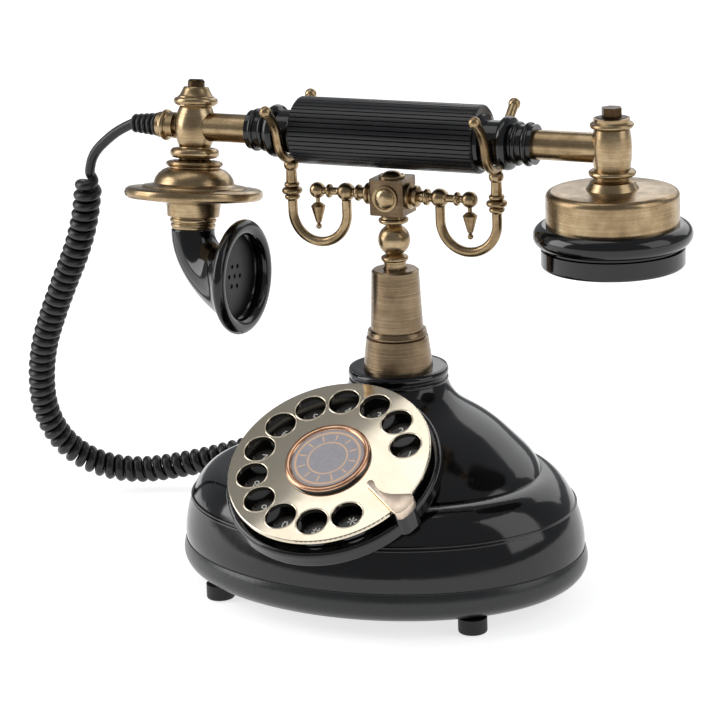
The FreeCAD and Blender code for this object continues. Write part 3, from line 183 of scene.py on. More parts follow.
# Polished copper plating: rosy shine with small rubbed marks
roseCopper = makeSurface("polishedRoseCopper", {
    "tones": ("#bd8c6c", "#dcb193"), "roughness": (0.24, 0.14), "cloudMm": 5.0}, {"Metallic": 1.0})

# Satin rose gold plating: pale and soft, with small rubbed marks
roseGold = makeSurface("satinRoseGold", {
    "tones": ("#dcc7b0", "#ecdcca"), "roughness": (0.4, 0.3), "cloudMm": 5.0}, {"Metallic": 1.0})

# Bronzed steel: dark brown with worn spots
darkScrew = makeSurface("bronzedSteel", {
    "tones": ("#2f2419", "#5a4630"), "roughness": (0.42, 0.32), "cloudMm": 5.0}, {"Metallic": 1.0})

# Zinc plated steel: light grey with a cloudy passivation
innerSteel = makeSurface("zincPlatedSteel", {
    "tones": ("#94979a", "#c3c5c7"), "roughness": (0.4, 0.3), "cloudMm": 5.0}, {"Metallic": 1.0})

# Plain brass of the gear: yellow with small tarnish spots
innerBrass = makeSurface("plainBrass", {
    "tones": ("#a88644", "#d0ad62"), "roughness": (0.38, 0.28), "cloudMm": 5.0}, {"Metallic": 1.0})

# Brushed metals: lines drawn coarser than real ones so that they show, over a lacquered patina
brushSpec = {
    "lineMm": 0.45, "runMm": 30.0, "lineDetail": 4.0, "lineRough": 0.7, "depthMm": 0.012, "strength": 0.7,
    "patinaMm": 9.0, "patinaDetail": 5.0, "patinaRough": 0.6,
    "toneSpan": (0.24, 0.5, 0.78), "glossSpan": (0.3, 0.7), "dulling": 0.14,
}


def makeBrushedMetal(name, spec, look, lineAxis=2):  # lineAxis is the lathe's axis, x, y or z as 0, 1 or 2
    material, tree, shader = startMaterial(name, {"Metallic": 1.0})
    coords = addNode(tree, "ShaderNodeTexCoord").outputs["Object"]
    stretch = [spec["runMm"]] * 3
    stretch[lineAxis] = spec["lineMm"]
    drawn = addNode(tree, "ShaderNodeMapping", {"vector_type": "TEXTURE"}, {
        "Vector": coords, "Scale": stretch})
    streak = addNode(tree, "ShaderNodeTexNoise", links={
        "Vector": drawn.outputs["Vector"], "Scale": 1 / mm,
        "Detail": spec["lineDetail"], "Roughness": spec["lineRough"]}).outputs["Fac"]
    patina = addNode(tree, "ShaderNodeTexNoise", links={
        "Vector": coords, "Scale": 1 / (spec["patinaMm"] * mm),
        "Detail": spec["patinaDetail"], "Roughness": spec["patinaRough"]}).outputs["Fac"]
    both = addNode(tree, "ShaderNodeMix", {"data_type": "FLOAT"}, {
        "Factor": look["lineShare"], "A": patina, "B": streak}).outputs["Result"]
    toneStops = list(zip(spec["toneSpan"], look["tones"]))
    tone = addNode(tree, "ShaderNodeValToRGB", links={"Fac": both}, stops=toneStops)
    gloss = addNode(tree, "ShaderNodeMapRange", links={
        "Value": both, "From Min": spec["glossSpan"][0], "From Max": spec["glossSpan"][1],
        "To Min": look["roughness"] + spec["dulling"], "To Max": look["roughness"]})
    bump = addNode(tree, "ShaderNodeBump", links={
        "Height": streak, "Distance": spec["depthMm"] * mm, "Strength": spec["strength"]})
    tree.links.new(tone.outputs["Color"], shader.inputs["Base Color"])
    tree.links.new(gloss.outputs["Result"], shader.inputs["Roughness"])
    tree.links.new(bump.outputs["Normal"], shader.inputs["Normal"])
    return material


# Antique brass: warm brown yellow, darker where the patina gathers, with fewer lines on cast pieces
turnedBrass = {"tones": ("#62513c", "#a18a69", "#d0bd9b"), "roughness": 0.2, "lineShare": 0.4}
castBrass = {"tones": ("#5d4c38", "#9b8463", "#cab693"), "roughness": 0.22, "lineShare": 0.25}
brassAlongX = makeBrushedMetal("antiqueBrassTurnedX", brushSpec, turnedBrass, lineAxis=0)
brassAlongZ = makeBrushedMetal("antiqueBrassTurnedZ", brushSpec, turnedBrass)
brassCast = makeBrushedMetal("antiqueBrassCast", brushSpec, castBrass)

# Brushed bronze: grey brown rings round the column, and an oxidised, darker one on the block
bronze = makeBrushedMetal("brushedDarkBronze", brushSpec, {
    "tones": ("#463a2d", "#826f57", "#a8967c"), "roughness": 0.22, "lineShare": 0.6})
darkBronze = makeBrushedMetal("oxidisedBronze", brushSpec, {
    "tones": ("#3d3227", "#6a5844", "#8f7b60"), "roughness": 0.24, "lineShare": 0.3})

# Printed card under the hub ring: grey stock with a plain ring and tick design in copper ink
cardSpec = {
    "outerRing": (13.4, 0.5), "innerRing": (8.2, 0.35), "tickBand": (10.8, 1.5),  # middle and half width, mm
    "ticks": 12, "tickHalf": 0.06,
    "stock": ("#a9a5aa", "#b5b1b6"), "stockSpan": (0.3, 0.7), "ink": "#efc9a6", "roughness": 0.28, "ior": 1.5,
    "mottleMm": 2.0, "mottleDetail": 3.0, "fibreMm": 0.4, "fibreDetail": 2.0, "noiseRough": 0.55,
    "depthMm": 0.008,
}


def makePrintedCard(spec):
    material, tree, shader = startMaterial("printedGreyCard", {
        "Roughness": spec["roughness"], "IOR": spec["ior"]})
    coords = addNode(tree, "ShaderNodeTexCoord").outputs["Object"]
    flat = addNode(tree, "ShaderNodeMapping", {"vector_type": "TEXTURE"}, {
        "Vector": coords, "Location": dialMiddle, "Rotation": (dialTilt, 0, 0)}).outputs["Vector"]
    parts = addNode(tree, "ShaderNodeSeparateXYZ", links={0: flat}).outputs
    values = {"x": parts[0], "y": parts[1]}
    sums = [  # each line makes a value from the ones before it
        ("xx", "MULTIPLY", "x", "x"),
        ("yy", "MULTIPLY", "y", "y"),
        ("total", "ADD", "xx", "yy"),
        ("radius", "SQRT", "total"),
        ("angle", "ARCTAN2", "y", "x"),
        ("turns", "MULTIPLY", "angle", spec["ticks"] / (2 * math.pi)),
        ("near", "PINGPONG", "turns", 0.5),
        ("tick", "LESS_THAN", "near", spec["tickHalf"]),
    ]
    sums += [(band, "COMPARE", "radius", *[size * mm for size in spec[band]])
             for band in ("outerRing", "innerRing", "tickBand")]
    sums += [
        ("tickInk", "MULTIPLY", "tick", "tickBand"),
        ("ringInk", "MAXIMUM", "outerRing", "innerRing"),
        ("ink", "MAXIMUM", "ringInk", "tickInk"),
    ]
    for made, operation, *given in sums:
        links = {index: values.get(item, item) for index, item in enumerate(given)}
        values[made] = addNode(tree, "ShaderNodeMath", {"operation": operation}, links).outputs[0]
    mottle = addNode(tree, "ShaderNodeTexNoise", links={
        "Vector": coords, "Scale": 1 / (spec["mottleMm"] * mm),
        "Detail": spec["mottleDetail"], "Roughness": spec["noiseRough"]}).outputs["Fac"]
    stock = addNode(tree, "ShaderNodeValToRGB", links={"Fac": mottle},
                    stops=list(zip(spec["stockSpan"], spec["stock"]))).outputs["Color"]
    tone = addNode(tree, "ShaderNodeMix", {"data_type": "RGBA"}, {
        "Factor": values["ink"], 6: stock, 7: linear(spec["ink"])}).outputs[2]
    fibre = addNode(tree, "ShaderNodeTexNoise", links={
        "Vector": coords, "Scale": 1 / (spec["fibreMm"] * mm),
        "Detail": spec["fibreDetail"], "Roughness": spec["noiseRough"]}).outputs["Fac"]
    bump = addNode(tree, "ShaderNodeBump", links={
        "Height": fibre, "Distance": spec["depthMm"] * mm, "Strength": 1.0})
    tree.links.new(tone, shader.inputs["Base Color"])
    tree.links.new(bump.outputs["Normal"], shader.inputs["Normal"])
    return material


printedCard = makePrintedCard(cardSpec)
print("materials made:", len(bpy.data.materials))

finishes = {
    polishedAbs: "base_shell dial_housing mouth_elbow mouth_ferrule ear_ferrule ear_ring",
    satinAbs: "base_tray",
    footRubber: "rubber_feet",
    darkScrew: "base_screws slotted_screw",
    bronze: "column_skirt column_sleeve",
    brassAlongX: "left_arm right_arm cord_boss",
    brassAlongZ: "handset_tube cradle_stem mouth_body mouth_cap mouth_disc ear_barrel ear_bolt ear_cap",
    darkBronze: "cradle_block",
    brassCast: "block_bosses left_drop right_drop left_hook right_hook left_fork right_fork",
    paleGold: "finger_wheel",
    roseCopper: "hub_bezel",
    roseGold: "finger_stop",
    mattAbs: "mouth_grille ear_plate",
    gripAbs: "grip",
    printedCard: "hub_card",
    numberBlack: "number_plate",
    cordPvc: "cord_lead cord_coil cord_tail strain_relief cord_gland",
    innerNylon: "stem_bush hook_switch line_jack ringer microphone receiver contact_springs",
    innerSteel: "column_nut hook_spring dial_shaft return_spring dial_frame pulse_pinion",
    innerBrass: "main_gear",
    innerBoard: "circuit_board",
}
for material, names in finishes.items():
    for name in names.split():
        nodes[name].data.materials.clear()
        nodes[name].data.materials.append(material)
boltMesh = nodes["ear_bolt"].data
boltMesh.materials.append(darkScrew)
hexagonZ = 199.0  # the bolt's hexagon is above this height, in millimetres, and its brass flange below
for polygon in boltMesh.polygons:
    polygon.material_index = int(polygon.center.z > hexagonZ * mm)
print("finishes given to the frame")

# The curly cord: control points of the route in millimetres, then the helix along its spline
cordSpec = {
    "lead": [(-124.7, 29.7, 186.4), (-131.7, 29.7, 183.4), (-139.0, 29.7, 178.2), (-145.2, 29.7, 172.6)],
    "coil": [(-148.2, 29.7, 166.0), (-155.4, 33.9, 136.0), (-176.6, 40.9, 101.0), (-191.8, 47.6, 72.0),
             (-198.0, 56.8, 40.5), (-189.5, 68.8, 18.0), (-167.5, 80.2, 8.4), (-136.0, 89.6, 13.8),
             (-107.7, 94.9, 22.5)],
    "tail": [(-83.7, 97.4, 26.0), (-71.7, 98.9, 27.0), (-58.7, 100.7, 27.6), (-46.7, 101.4, 28.0),
             (-37.2, 98.4, 28.0), (-31.2, 91.4, 28.0), (-29.7, 83.1, 28.0)],
    "routeOrder": 3, "routeSteps": 32,
    "wireMm": 4.4, "helixRadiusMm": 4.0, "pitchMm": 4.8, "stepsPerTurn": 20, "wireSides": 5,
    "leadLengthMm": 33.0, "tailLengthMm": 66.0, "easeTurns": 2.0, "plainStepMm": 1.5, "leastStepMm": 1.0,
}


def splinePoints(spec):  # the smooth line of a NURBS spline that the route's points steer
    points = spec["lead"] + spec["coil"] + spec["tail"]
    curve = bpy.data.curves.new("cordRoute", "CURVE")
    curve.dimensions = "3D"
    spline = curve.splines.new("NURBS")
    spline.points.add(len(points) - 1)
    for point, place in zip(spline.points, points):
        point.co = (*[c * mm for c in place], 1.0)
    spline.order_u = spec["routeOrder"]
    spline.use_endpoint_u = True
    curve.resolution_u = spec["routeSteps"]
    line = bpy.data.objects.new("cordRoute", curve)
    bpy.context.collection.objects.link(line)
    bpy.context.view_layer.update()
    mesh = bpy.data.meshes.new_from_object(line)
    found = [v.co.copy() for v in mesh.vertices]
    bpy.data.objects.remove(line)
    bpy.data.meshes.remove(mesh)
    return found


def helixPoints(spec, line):  # plain at both ends of the line, coiled between
    along = [0.0]
    for a, b in zip(line, line[1:]):
        along.append(along[-1] + (b - a).length)
    total = along[-1]
    first = spec["leadLengthMm"] * mm
    last = total - spec["tailLengthMm"] * mm
    pitch = spec["pitchMm"] * mm
    radius = spec["helixRadiusMm"] * mm
    ease = spec["easeTurns"] * pitch
    step = pitch / spec["stepsPerTurn"]
    plainStep = spec["plainStepMm"] * mm
    points = []
    side = Vector((0, 1, 0))  # carried along the line so that the helix doesn't twist
    index = 0
    run = turn = 0.0
    while run < total:
        while index < len(along) - 2 and along[index + 1] < run:
            index += 1
        start, end = line[index], line[index + 1]
        place = start.lerp(end, (run - along[index]) / (along[index + 1] - along[index]))
        way = (end - start).normalized()
        side = (side - way * side.dot(way)).normalized()
        lift = way.cross(side)
        grow = min(max((run - first) / ease, 0), 1, max((last - run) / ease, 0))
        grow *= grow * (3 - 2 * grow)  # no kink where the coil starts and ends
        points.append(place + (side * math.cos(turn) + lift * math.sin(turn)) * radius * grow)
        advance = step if first - step < run < last + step else plainStep
        turn += 2 * math.pi * grow * advance / pitch  # turns slowly where the coil is thin, for wider bends
        run += advance
    if (points[-1] - line[-1]).length < spec["leastStepMm"] * mm:
        points.pop()
    return points + [line[-1]]


def makeCord(spec):
    points = helixPoints(spec, splinePoints(spec))
    curve = bpy.data.curves.new("curlyCord", "CURVE")
    curve.dimensions = "3D"
    spline = curve.splines.new("POLY")
    spline.points.add(len(points) - 1)
    for point, place in zip(spline.points, points):
        point.co = (*place, 1.0)
    curve.bevel_depth = spec["wireMm"] * mm / 2
    curve.bevel_resolution = spec["wireSides"]
    curve.use_fill_caps = True
    cord = bpy.data.objects.new("curlyCord", curve)
    bpy.context.collection.objects.link(cord)
    deselectAll()
    cord.select_set(True)
    bpy.context.view_layer.objects.active = cord
    bpy.ops.object.convert(target="MESH")
    cord = bpy.context.object
    bpy.ops.object.shade_smooth()
    cord.data.materials.clear()
    cord.data.materials.append(cordPvc)
    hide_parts("cord_lead", "cord_coil", "cord_tail")
    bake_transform(cord)


makeCord(cordSpec)


def finishPiece(piece, material, body, stands=(), smoothDeg=60):  # stands: CAD nodes it replaces
    deselectAll()
    piece.select_set(True)
    bpy.context.view_layer.objects.active = piece
    bpy.ops.object.transform_apply(location=True, rotation=True, scale=True)
    bpy.ops.object.mode_set(mode="EDIT")
    bpy.ops.mesh.select_all(action="SELECT")
    bpy.ops.mesh.remove_doubles(threshold=sameSpot)
    bpy.ops.mesh.normals_make_consistent(inside=False)
    bpy.ops.object.mode_set(mode="OBJECT")
    bpy.ops.object.shade_smooth_by_angle(angle=math.radians(smoothDeg))
    piece.data.materials.clear()
    piece.data.materials.append(material)
    if stands:
        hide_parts(*stands)
    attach(piece, body)


def startRing(name, sides, width, depth, place):  # a circle primitive pulled to an oval, left in edit mode
    deselectAll()
    bpy.ops.mesh.primitive_circle_add(vertices=sides, radius=1.0, fill_type="NOTHING", location=(0, 0, 0))
    piece = bpy.context.object
    piece.name = name
    bpy.ops.object.mode_set(mode="EDIT")
    bpy.ops.mesh.select_all(action="SELECT")
    bpy.ops.transform.resize(value=(width * mm, depth * mm, 1), center_override=(0, 0, 0))
    bpy.ops.transform.translate(value=[c * mm for c in place])
    return piece


def stackRings(name, rings, sides):  # rings of (half width, half depth, x, y, z), each extruded from the last
    width, depth, *place = rings[0]
    piece = startRing(name, sides, width, depth, place)
    for nextWidth, nextDepth, *nextPlace in rings[1:]:
        move = [(b - a) * mm for a, b in zip(place, nextPlace)]
        bpy.ops.mesh.extrude_region_move(TRANSFORM_OT_translate={"value": move})
        scale = (nextWidth / width, nextDepth / depth, 1)
        bpy.ops.transform.resize(value=scale, center_override=[c * mm for c in nextPlace])
        width, depth, place = nextWidth, nextDepth, nextPlace
    bpy.ops.object.mode_set(mode="OBJECT")
    return piece


def turnRings(name, profile, x=0, y=0, sides=96, closed=True):  # a lathe piece from (radius, z) points
    rings = [(r, r, x, y, z) for r, z in profile]
    if closed:
        rings.append(rings[0])
    return stackRings(name, rings, sides)


def ringProfile(middle, height, half, halfHeight, steps):  # an oval ring section as (radius, height) points
    turns = [2 * math.pi * step / steps for step in range(steps)]
    return [(middle + half * math.cos(t), height + halfHeight * math.sin(t)) for t in turns]


def joinPieces(made, name):
    deselectAll()
    for piece in made:
        piece.select_set(True)
    bpy.context.view_layer.objects.active = made[0]
    bpy.ops.object.transform_apply(location=True, rotation=True, scale=True)
    bpy.ops.object.join()
    joined = bpy.context.object
    joined.name = name
    return joined


# Grip: narrow grooves cut along a moulded sleeve
gripSpec = {
    "ribs": 44, "pointsPerRib": 8, "radius": 14.0, "groove": 0.6, "shoulder": 0.03,
    "half": 41.0, "chamfer": 0.7, "bore": 7.4, "rise": 1.0,
}


def makeGrip(spec):
    ribPoints = spec["pointsPerRib"]
    radius, half, chamfer = spec["radius"], spec["half"], spec["chamfer"]
    low = -half * mm
    piece = startRing("ribbedGrip", spec["ribs"] * ribPoints, radius, radius, (0, 0, -half))
    mesh = piece.data
    bpy.ops.mesh.select_all(action="DESELECT")
    bpy.ops.object.mode_set(mode="OBJECT")
    depths = {0: spec["groove"], 1: spec["shoulder"], ribPoints - 1: spec["shoulder"]}
    for spot, depth in depths.items():  # points in the grooves and on their shoulders move inwards
        for vertex in mesh.vertices:
            vertex.select = vertex.index % ribPoints == spot
        bpy.ops.object.mode_set(mode="EDIT")
        shrink = 1 - depth / radius
        bpy.ops.transform.resize(value=(shrink, shrink, 1), center_override=(0, 0, low))
        bpy.ops.mesh.select_all(action="DESELECT")
        bpy.ops.object.mode_set(mode="OBJECT")
    bpy.ops.object.mode_set(mode="EDIT")
    bpy.ops.mesh.select_all(action="SELECT")
    inward = (radius - chamfer) / radius
    toBore = spec["bore"] / radius / inward
    bpy.ops.transform.resize(value=(inward, inward, 1), center_override=(0, 0, low))
    z = -half
    for move, scale in ((chamfer, 1 / inward), (2 * (half - chamfer), 1.0), (chamfer, inward), (0, toBore)):
        z += move
        bpy.ops.mesh.extrude_region_move(TRANSFORM_OT_translate={"value": (0, 0, move * mm)})
        bpy.ops.transform.resize(value=(scale, scale, 1), center_override=(0, 0, z * mm))
    bpy.ops.mesh.select_all(action="DESELECT")
    bpy.ops.object.mode_set(mode="OBJECT")
    for edge in mesh.edges:  # the first ring gets its end face too
        edge.select = all(abs(mesh.vertices[i].co.z - low) < sameSpot for i in edge.vertices)
    bpy.ops.object.mode_set(mode="EDIT")
    bpy.ops.mesh.select_mode(type="EDGE")
    bpy.ops.mesh.extrude_region_move(TRANSFORM_OT_translate={"value": (0, 0, 0)})
    bpy.ops.transform.resize(value=(toBore, toBore, 1), center_override=(0, 0, low))
    bpy.ops.mesh.select_mode(type="VERT")
    bpy.ops.object.mode_set(mode="OBJECT")
    middle = Vector((columnX, columnY, handsetZ + spec["rise"])) * mm
    piece.matrix_world = Matrix.Translation(middle) @ Matrix.Rotation(math.pi / 2, 4, "Y")
    finishPiece(piece, gripAbs, "handset", ["grip"], smoothDeg=30)


makeGrip(gripSpec)
print("grip made")

# Mouthpiece: cap, neck ring, disc, flared elbow and lip; profiles are (radius, height) on its own axis
mouthSpec = {
    "reach": 91.0, "twistDeg": -9.0,
    "cap": [(2.2, 8.75), (8.0, 8.75), (8.0, 9.2), (8.6, 9.25), (9.2, 9.8), (9.4, 10.6), (9.2, 11.5),
            (8.6, 12.1), (7.9, 12.3), (7.85, 12.7), (7.2, 12.9), (6.9, 13.3), (6.3, 14.4), (5.7, 15.6),
            (5.4, 16.4), (5.0, 16.75), (2.2, 16.8)],
    "neckRing": (8.3, -11.2, 2.2, 2.2), "neckSteps": 12,  # radius, height, half width, half height
    "disc": [(8.9, -14.5), (10.6, -14.55), (11.7, -15.0), (12.2, -15.9), (11.7, -16.7), (10.9, -17.1),
             (10.9, -17.5), (13.2, -18.4), (15.2, -20.0), (16.6, -22.0), (17.3, -24.2), (18.0, -24.7),
             (20.4, -24.9), (22.3, -25.3), (22.7, -25.8), (25.6, -26.0), (28.0, -26.2), (29.1, -26.9),
             (29.6, -28.3), (29.3, -29.6), (28.3, -30.5), (24.0, -31.0), (17.0, -31.9), (11.9, -32.6),
             (11.6, -33.0), (11.1, -38.0), (10.6, -38.3), (9.4, -38.4), (9.4, -38.9), (9.9, -39.3),
             (10.0, -39.8), (9.8, -40.4), (9.2, -40.7), (9.2, -41.1), (9.6, -41.5), (9.6, -42.3),
             (9.2, -42.7), (9.1, -43.5), (5.4, -43.5), (5.4, -16.3), (8.9, -16.3)],
    "discSides": 128,
    "footZ": -43.5, "bend": 19.0, "bendShare": 1.12,  # a short straight stretch follows the bend
    "tube": 9.3, "flare": 13.9, "flarePower": 3.2, "wall": 1.2, "elbowSteps": 40, "elbowSides": 14,
    "lip": (21.2, 0.0, 3.3, 2.7), "lipSteps": 20, "lipReach": 24.2,
}


def makeElbow(spec, mouthPlace):  # a bevelled curve whose radius flares towards the lip
    bend = spec["bend"]
    steps = spec["elbowSteps"]
    curve = bpy.data.curves.new("flaredElbow", "CURVE")
    curve.dimensions = "3D"
    spline = curve.splines.new("POLY")
    spline.points.add(steps)
    for index, point in enumerate(spline.points):
        share = index / steps
        turn = min(share * spec["bendShare"], 1) * math.pi / 2
        past = max(share * spec["bendShare"] - 1, 0) * bend * math.pi / 2
        x = bend * (1 - math.cos(turn)) + past
        z = spec["footZ"] - bend * math.sin(turn)
        point.co = (x * mm, 0, z * mm, 1)
        point.radius = (spec["tube"] + spec["flare"] * share ** spec["flarePower"]) * mm
    curve.bevel_depth = 1.0
    curve.bevel_resolution = spec["elbowSides"]
    elbow = bpy.data.objects.new("flaredElbow", curve)
    bpy.context.collection.objects.link(elbow)
    deselectAll()
    elbow.select_set(True)
    bpy.context.view_layer.objects.active = elbow
    bpy.ops.object.convert(target="MESH")
    elbow = bpy.context.object
    elbow.matrix_world = mouthPlace
    finishPiece(elbow, polishedAbs, "handset", ["mouth_elbow"])
    wall = elbow.modifiers.new("wall", "SOLIDIFY")
    wall.thickness = spec["wall"] * mm
    wall.offset = -1
    bpy.ops.object.modifier_apply(modifier="wall")


def makeMouthpiece(spec):
    middle = Vector((columnX - spec["reach"], columnY, handsetZ)) * mm
    mouthPlace = Matrix.Translation(middle) @ Matrix.Rotation(math.radians(spec["twistDeg"]), 4, "X")
    cap = turnRings("mouthCapTurned", spec["cap"])
    cap.matrix_world = mouthPlace
    finishPiece(cap, brassAlongZ, "handset", ["mouth_cap"], smoothDeg=35)
    ring = turnRings("mouthNeckRing", ringProfile(*spec["neckRing"], spec["neckSteps"]))
    ring.matrix_world = mouthPlace
    finishPiece(ring, brassAlongZ, "handset")
    disc = turnRings("mouthDiscTurned", spec["disc"], sides=spec["discSides"])
    disc.matrix_world = mouthPlace
    finishPiece(disc, brassAlongZ, "handset", ["mouth_disc"], smoothDeg=35)
    makeElbow(spec, mouthPlace)
    lip = turnRings("mouthLip", ringProfile(*spec["lip"], spec["lipSteps"]))
    reach = Vector((spec["lipReach"], 0, spec["footZ"] - spec["bend"])) * mm
    lip.matrix_world = mouthPlace @ Matrix.Translation(reach) @ Matrix.Rotation(math.pi / 2, 4, "Y")
    finishPiece(lip, polishedAbs, "handset")


makeMouthpiece(mouthSpec)
print("mouthpiece made")

# Cradle: the balls where the fork arms meet their stems
cradleSpec = {"forkX": 46.3, "knuckleZ": 172.4, "knuckle": 3.1, "steps": 16, "sides": 32}


def makeKnuckles(spec):
    made = []
    turns = [math.pi * step / spec["steps"] for step in range(1, spec["steps"])]
    radius, middleZ = spec["knuckle"], spec["knuckleZ"]
    profile = [(radius * math.sin(t), middleZ - radius * math.cos(t)) for t in turns]
    for side in (-1, 1):
        x = columnX + side * spec["forkX"]
        made.append(turnRings("knuckle", profile, x, columnY, spec["sides"], closed=False))
    balls = joinPieces(made, "forkKnuckles")
    bpy.ops.object.mode_set(mode="EDIT")
    bpy.ops.mesh.select_all(action="SELECT")
    bpy.ops.mesh.fill_holes(sides=0)  # closes the poles
    bpy.ops.object.mode_set(mode="OBJECT")
    finishPiece(balls, brassCast, "cradle")


makeKnuckles(cradleSpec)
print("cradle dressed")

# Dial, in its own plane: hub ring on a black wall, rims at the finger holes, characters, finger stop
dialSpec = {
    "wall": [(17.2, 0.0), (17.75, 0.0), (17.75, 0.9), (17.5, 1.2), (17.2, 1.2)],
    "ring": [(14.9, 0.6), (17.5, 1.1), (17.7, 1.4), (17.55, 1.8), (17.1, 2.1), (16.4, 2.2), (15.7, 2.1),
             (15.2, 1.8), (15.05, 1.5)],
    "rim": [(6.35, -0.3), (6.42, 0.1), (6.68, 0.22), (6.94, 0.1), (7.02, -0.1), (6.7, -0.4)], "rimSides": 48,
    "characters": "1234567890#*", "firstDeg": 21.9, "stepDeg": 25.714, "circle": 31.7,
    "plateDepth": 5.0, "shift": (0.56, -0.8),  # the characters stand a little off the holes' middles
    "textSize": 5.4, "starSize": 9.0, "ink": 0.05, "inkLift": 0.06,
    "stop": [(36.6, -22.9), (38.49, -24.18), (40.49, -23.47), (41.87, -21.85), (43.33, -18.79),
             (43.72, -16.7), (43.01, -14.7), (41.4, -13.32), (37.2, -14.1), (33.37, -14.66), (30.2, -14.35),
             (27.64, -13.33), (25.5, -11.7), (23.94, -9.31), (22.9, -8.75), (21.8, -9.2), (21.3, -10.3),
             (21.64, -11.5)],
    "stopLow": 0.8, "stopHigh": 2.0, "stopEdge": 0.3, "stopEdgeSteps": 2,
    "lipLow": -2.2, "lipRadius": 43.3, "lipCorners": (1, 7),  # corners counted along the outline
}


def makeHub(spec):
    hubPieces = (("hubWall", "wall", polishedAbs, []), ("hubRing", "ring", roseCopper, ["hub_bezel"]))
    for name, profile, material, stands in hubPieces:
        piece = turnRings(name, spec[profile])
        piece.matrix_world = dialPlace
        finishPiece(piece, material, "dial", stands, smoothDeg=50)


def holePlace(spec, index):
    angle = math.radians(spec["firstDeg"] + spec["stepDeg"] * index)
    return spec["circle"] * math.cos(angle), spec["circle"] * math.sin(angle)


def makeHoleRims(spec):
    made = []
    for index in range(len(spec["characters"])):
        rim = turnRings("holeRim", spec["rim"], *holePlace(spec, index), spec["rimSides"])
        rim.matrix_world = dialPlace
        made.append(rim)
    finishPiece(joinPieces(made, "holeRims"), paleGold, "dial")


def makeCharacters(spec):
    made = []
    for index, character in enumerate(spec["characters"]):
        x, y = (a + b for a, b in zip(holePlace(spec, index), spec["shift"]))
        deselectAll()
        bpy.ops.object.text_add(location=(0, 0, 0))
        text = bpy.context.object
        text.data.body = character
        text.data.size = spec["starSize" if character == "*" else "textSize"] * mm
        text.data.align_x = "CENTER"
        text.data.align_y = "CENTER"
        text.data.extrude = spec["ink"] * mm
        bpy.ops.object.convert(target="MESH")
        mark = bpy.context.object
        onPlate = Vector((x, y, spec["inkLift"] - spec["plateDepth"])) * mm
        mark.matrix_world = dialPlace @ Matrix.Translation(onPlate)
        made.append(mark)
    finishPiece(joinPieces(made, "dialCharacters"), whiteInk, "base", smoothDeg=30)


def makeFingerStop(spec):
    deselectAll()
    outline = spec["stop"]
    bpy.ops.mesh.primitive_circle_add(vertices=len(outline), radius=1.0, fill_type="NGON", location=(0, 0, 0))
    piece = bpy.context.object
    piece.name = "fingerStopHorn"
    mesh = piece.data
    low = spec["stopLow"] * mm
    thickness = spec["stopHigh"] * mm - low
    lipMove = spec["lipLow"] * mm - low
    for vertex, (x, y) in zip(mesh.vertices, outline):
        vertex.co = (x * mm, y * mm, low)
    bpy.ops.object.mode_set(mode="EDIT")
    bpy.ops.mesh.select_all(action="SELECT")
    bpy.ops.mesh.extrude_region_move(TRANSFORM_OT_translate={"value": (0, 0, thickness)})
    bpy.ops.mesh.select_all(action="DESELECT")
    bpy.ops.object.mode_set(mode="OBJECT")
    corners = [Vector((*outline[i], spec["stopLow"])) * mm for i in spec["lipCorners"]]
    for vertex in mesh.vertices:  # the underside is split across the outer end, which is pulled down as a lip
        vertex.select = any((vertex.co - corner).length < sameSpot for corner in corners)
    bpy.ops.object.mode_set(mode="EDIT")
    bpy.ops.mesh.vert_connect()
    bpy.ops.mesh.select_all(action="DESELECT")
    bpy.ops.object.mode_set(mode="OBJECT")
    for polygon in mesh.polygons:
        ends = [mesh.vertices[i].co for i in polygon.vertices]
        polygon.select = all(abs(v.z - low) < sameSpot and v.xy.length > spec["lipRadius"] * mm for v in ends)
    bpy.ops.object.mode_set(mode="EDIT")
    bpy.ops.mesh.select_mode(type="FACE")
    bpy.ops.mesh.extrude_region_move(TRANSFORM_OT_translate={"value": (0, 0, lipMove)})
    bpy.ops.mesh.select_mode(type="VERT")
    bpy.ops.object.mode_set(mode="OBJECT")
    bevel = piece.modifiers.new("edge", "BEVEL")
    bevel.width = spec["stopEdge"] * mm
    bevel.segments = spec["stopEdgeSteps"]
    bevel.limit_method = "ANGLE"
    bpy.ops.object.modifier_apply(modifier="edge")
    piece.matrix_world = dialPlace
    finishPiece(piece, roseGold, "base", ["finger_stop"], smoothDeg=40)


makeHub(dialSpec)
makeHoleRims(dialSpec)
makeCharacters(dialSpec)
makeFingerStop(dialSpec)
print("dial dressed")

# Base: beads on the shoulder and a dull black band of painted shade in the seam as (half width, half depth,
# z), rings under the collar
baseSpec = {
    "beads": {"shoulderBeadA": (83.0, 63.9, 37.2), "shoulderBeadB": (83.1, 64.0, 38.7)},
    "beadRadius": 0.5, "beadSteps": 8, "ovalSides": 192,
    "collar": [(20.0, 82.6), (20.75, 82.9), (21.05, 83.8), (20.75, 84.7), (20.2, 85.0), (20.2, 85.5),
               (20.8, 85.8), (21.1, 86.9), (20.9, 88.2), (20.2, 88.95), (19.0, 88.95)],
    "seam": [(86.3, 66.4, 19.75), (86.75, 66.85, 19.8), (86.75, 66.85, 20.2), (86.3, 66.4, 20.25)],
}


def makeBaseTrim(spec):
    for name, (width, depth, z) in spec["beads"].items():
        rings = []
        for step in range(spec["beadSteps"] + 1):
            turn = 2 * math.pi * step / spec["beadSteps"]
            out = spec["beadRadius"] * math.cos(turn)
            rings.append((width + out, depth + out, columnX, baseY, z + spec["beadRadius"] * math.sin(turn)))
        finishPiece(stackRings(name, rings, spec["ovalSides"]), polishedAbs, "base")
    collar = turnRings("collarRings", spec["collar"], columnX, columnY)
    finishPiece(collar, polishedAbs, "base", smoothDeg=50)
    # the seam band is painted shade: a dull black ring proud of the joint, standing in for the dark line of
    # the seam's gap
    seam = [(width, depth, columnX, baseY, z) for width, depth, z in spec["seam"]]
    finishPiece(stackRings("paintedSeamShade", seam + seam[:1], spec["ovalSides"]), footRubber, "base")


makeBaseTrim(baseSpec)
print("base trimmed")

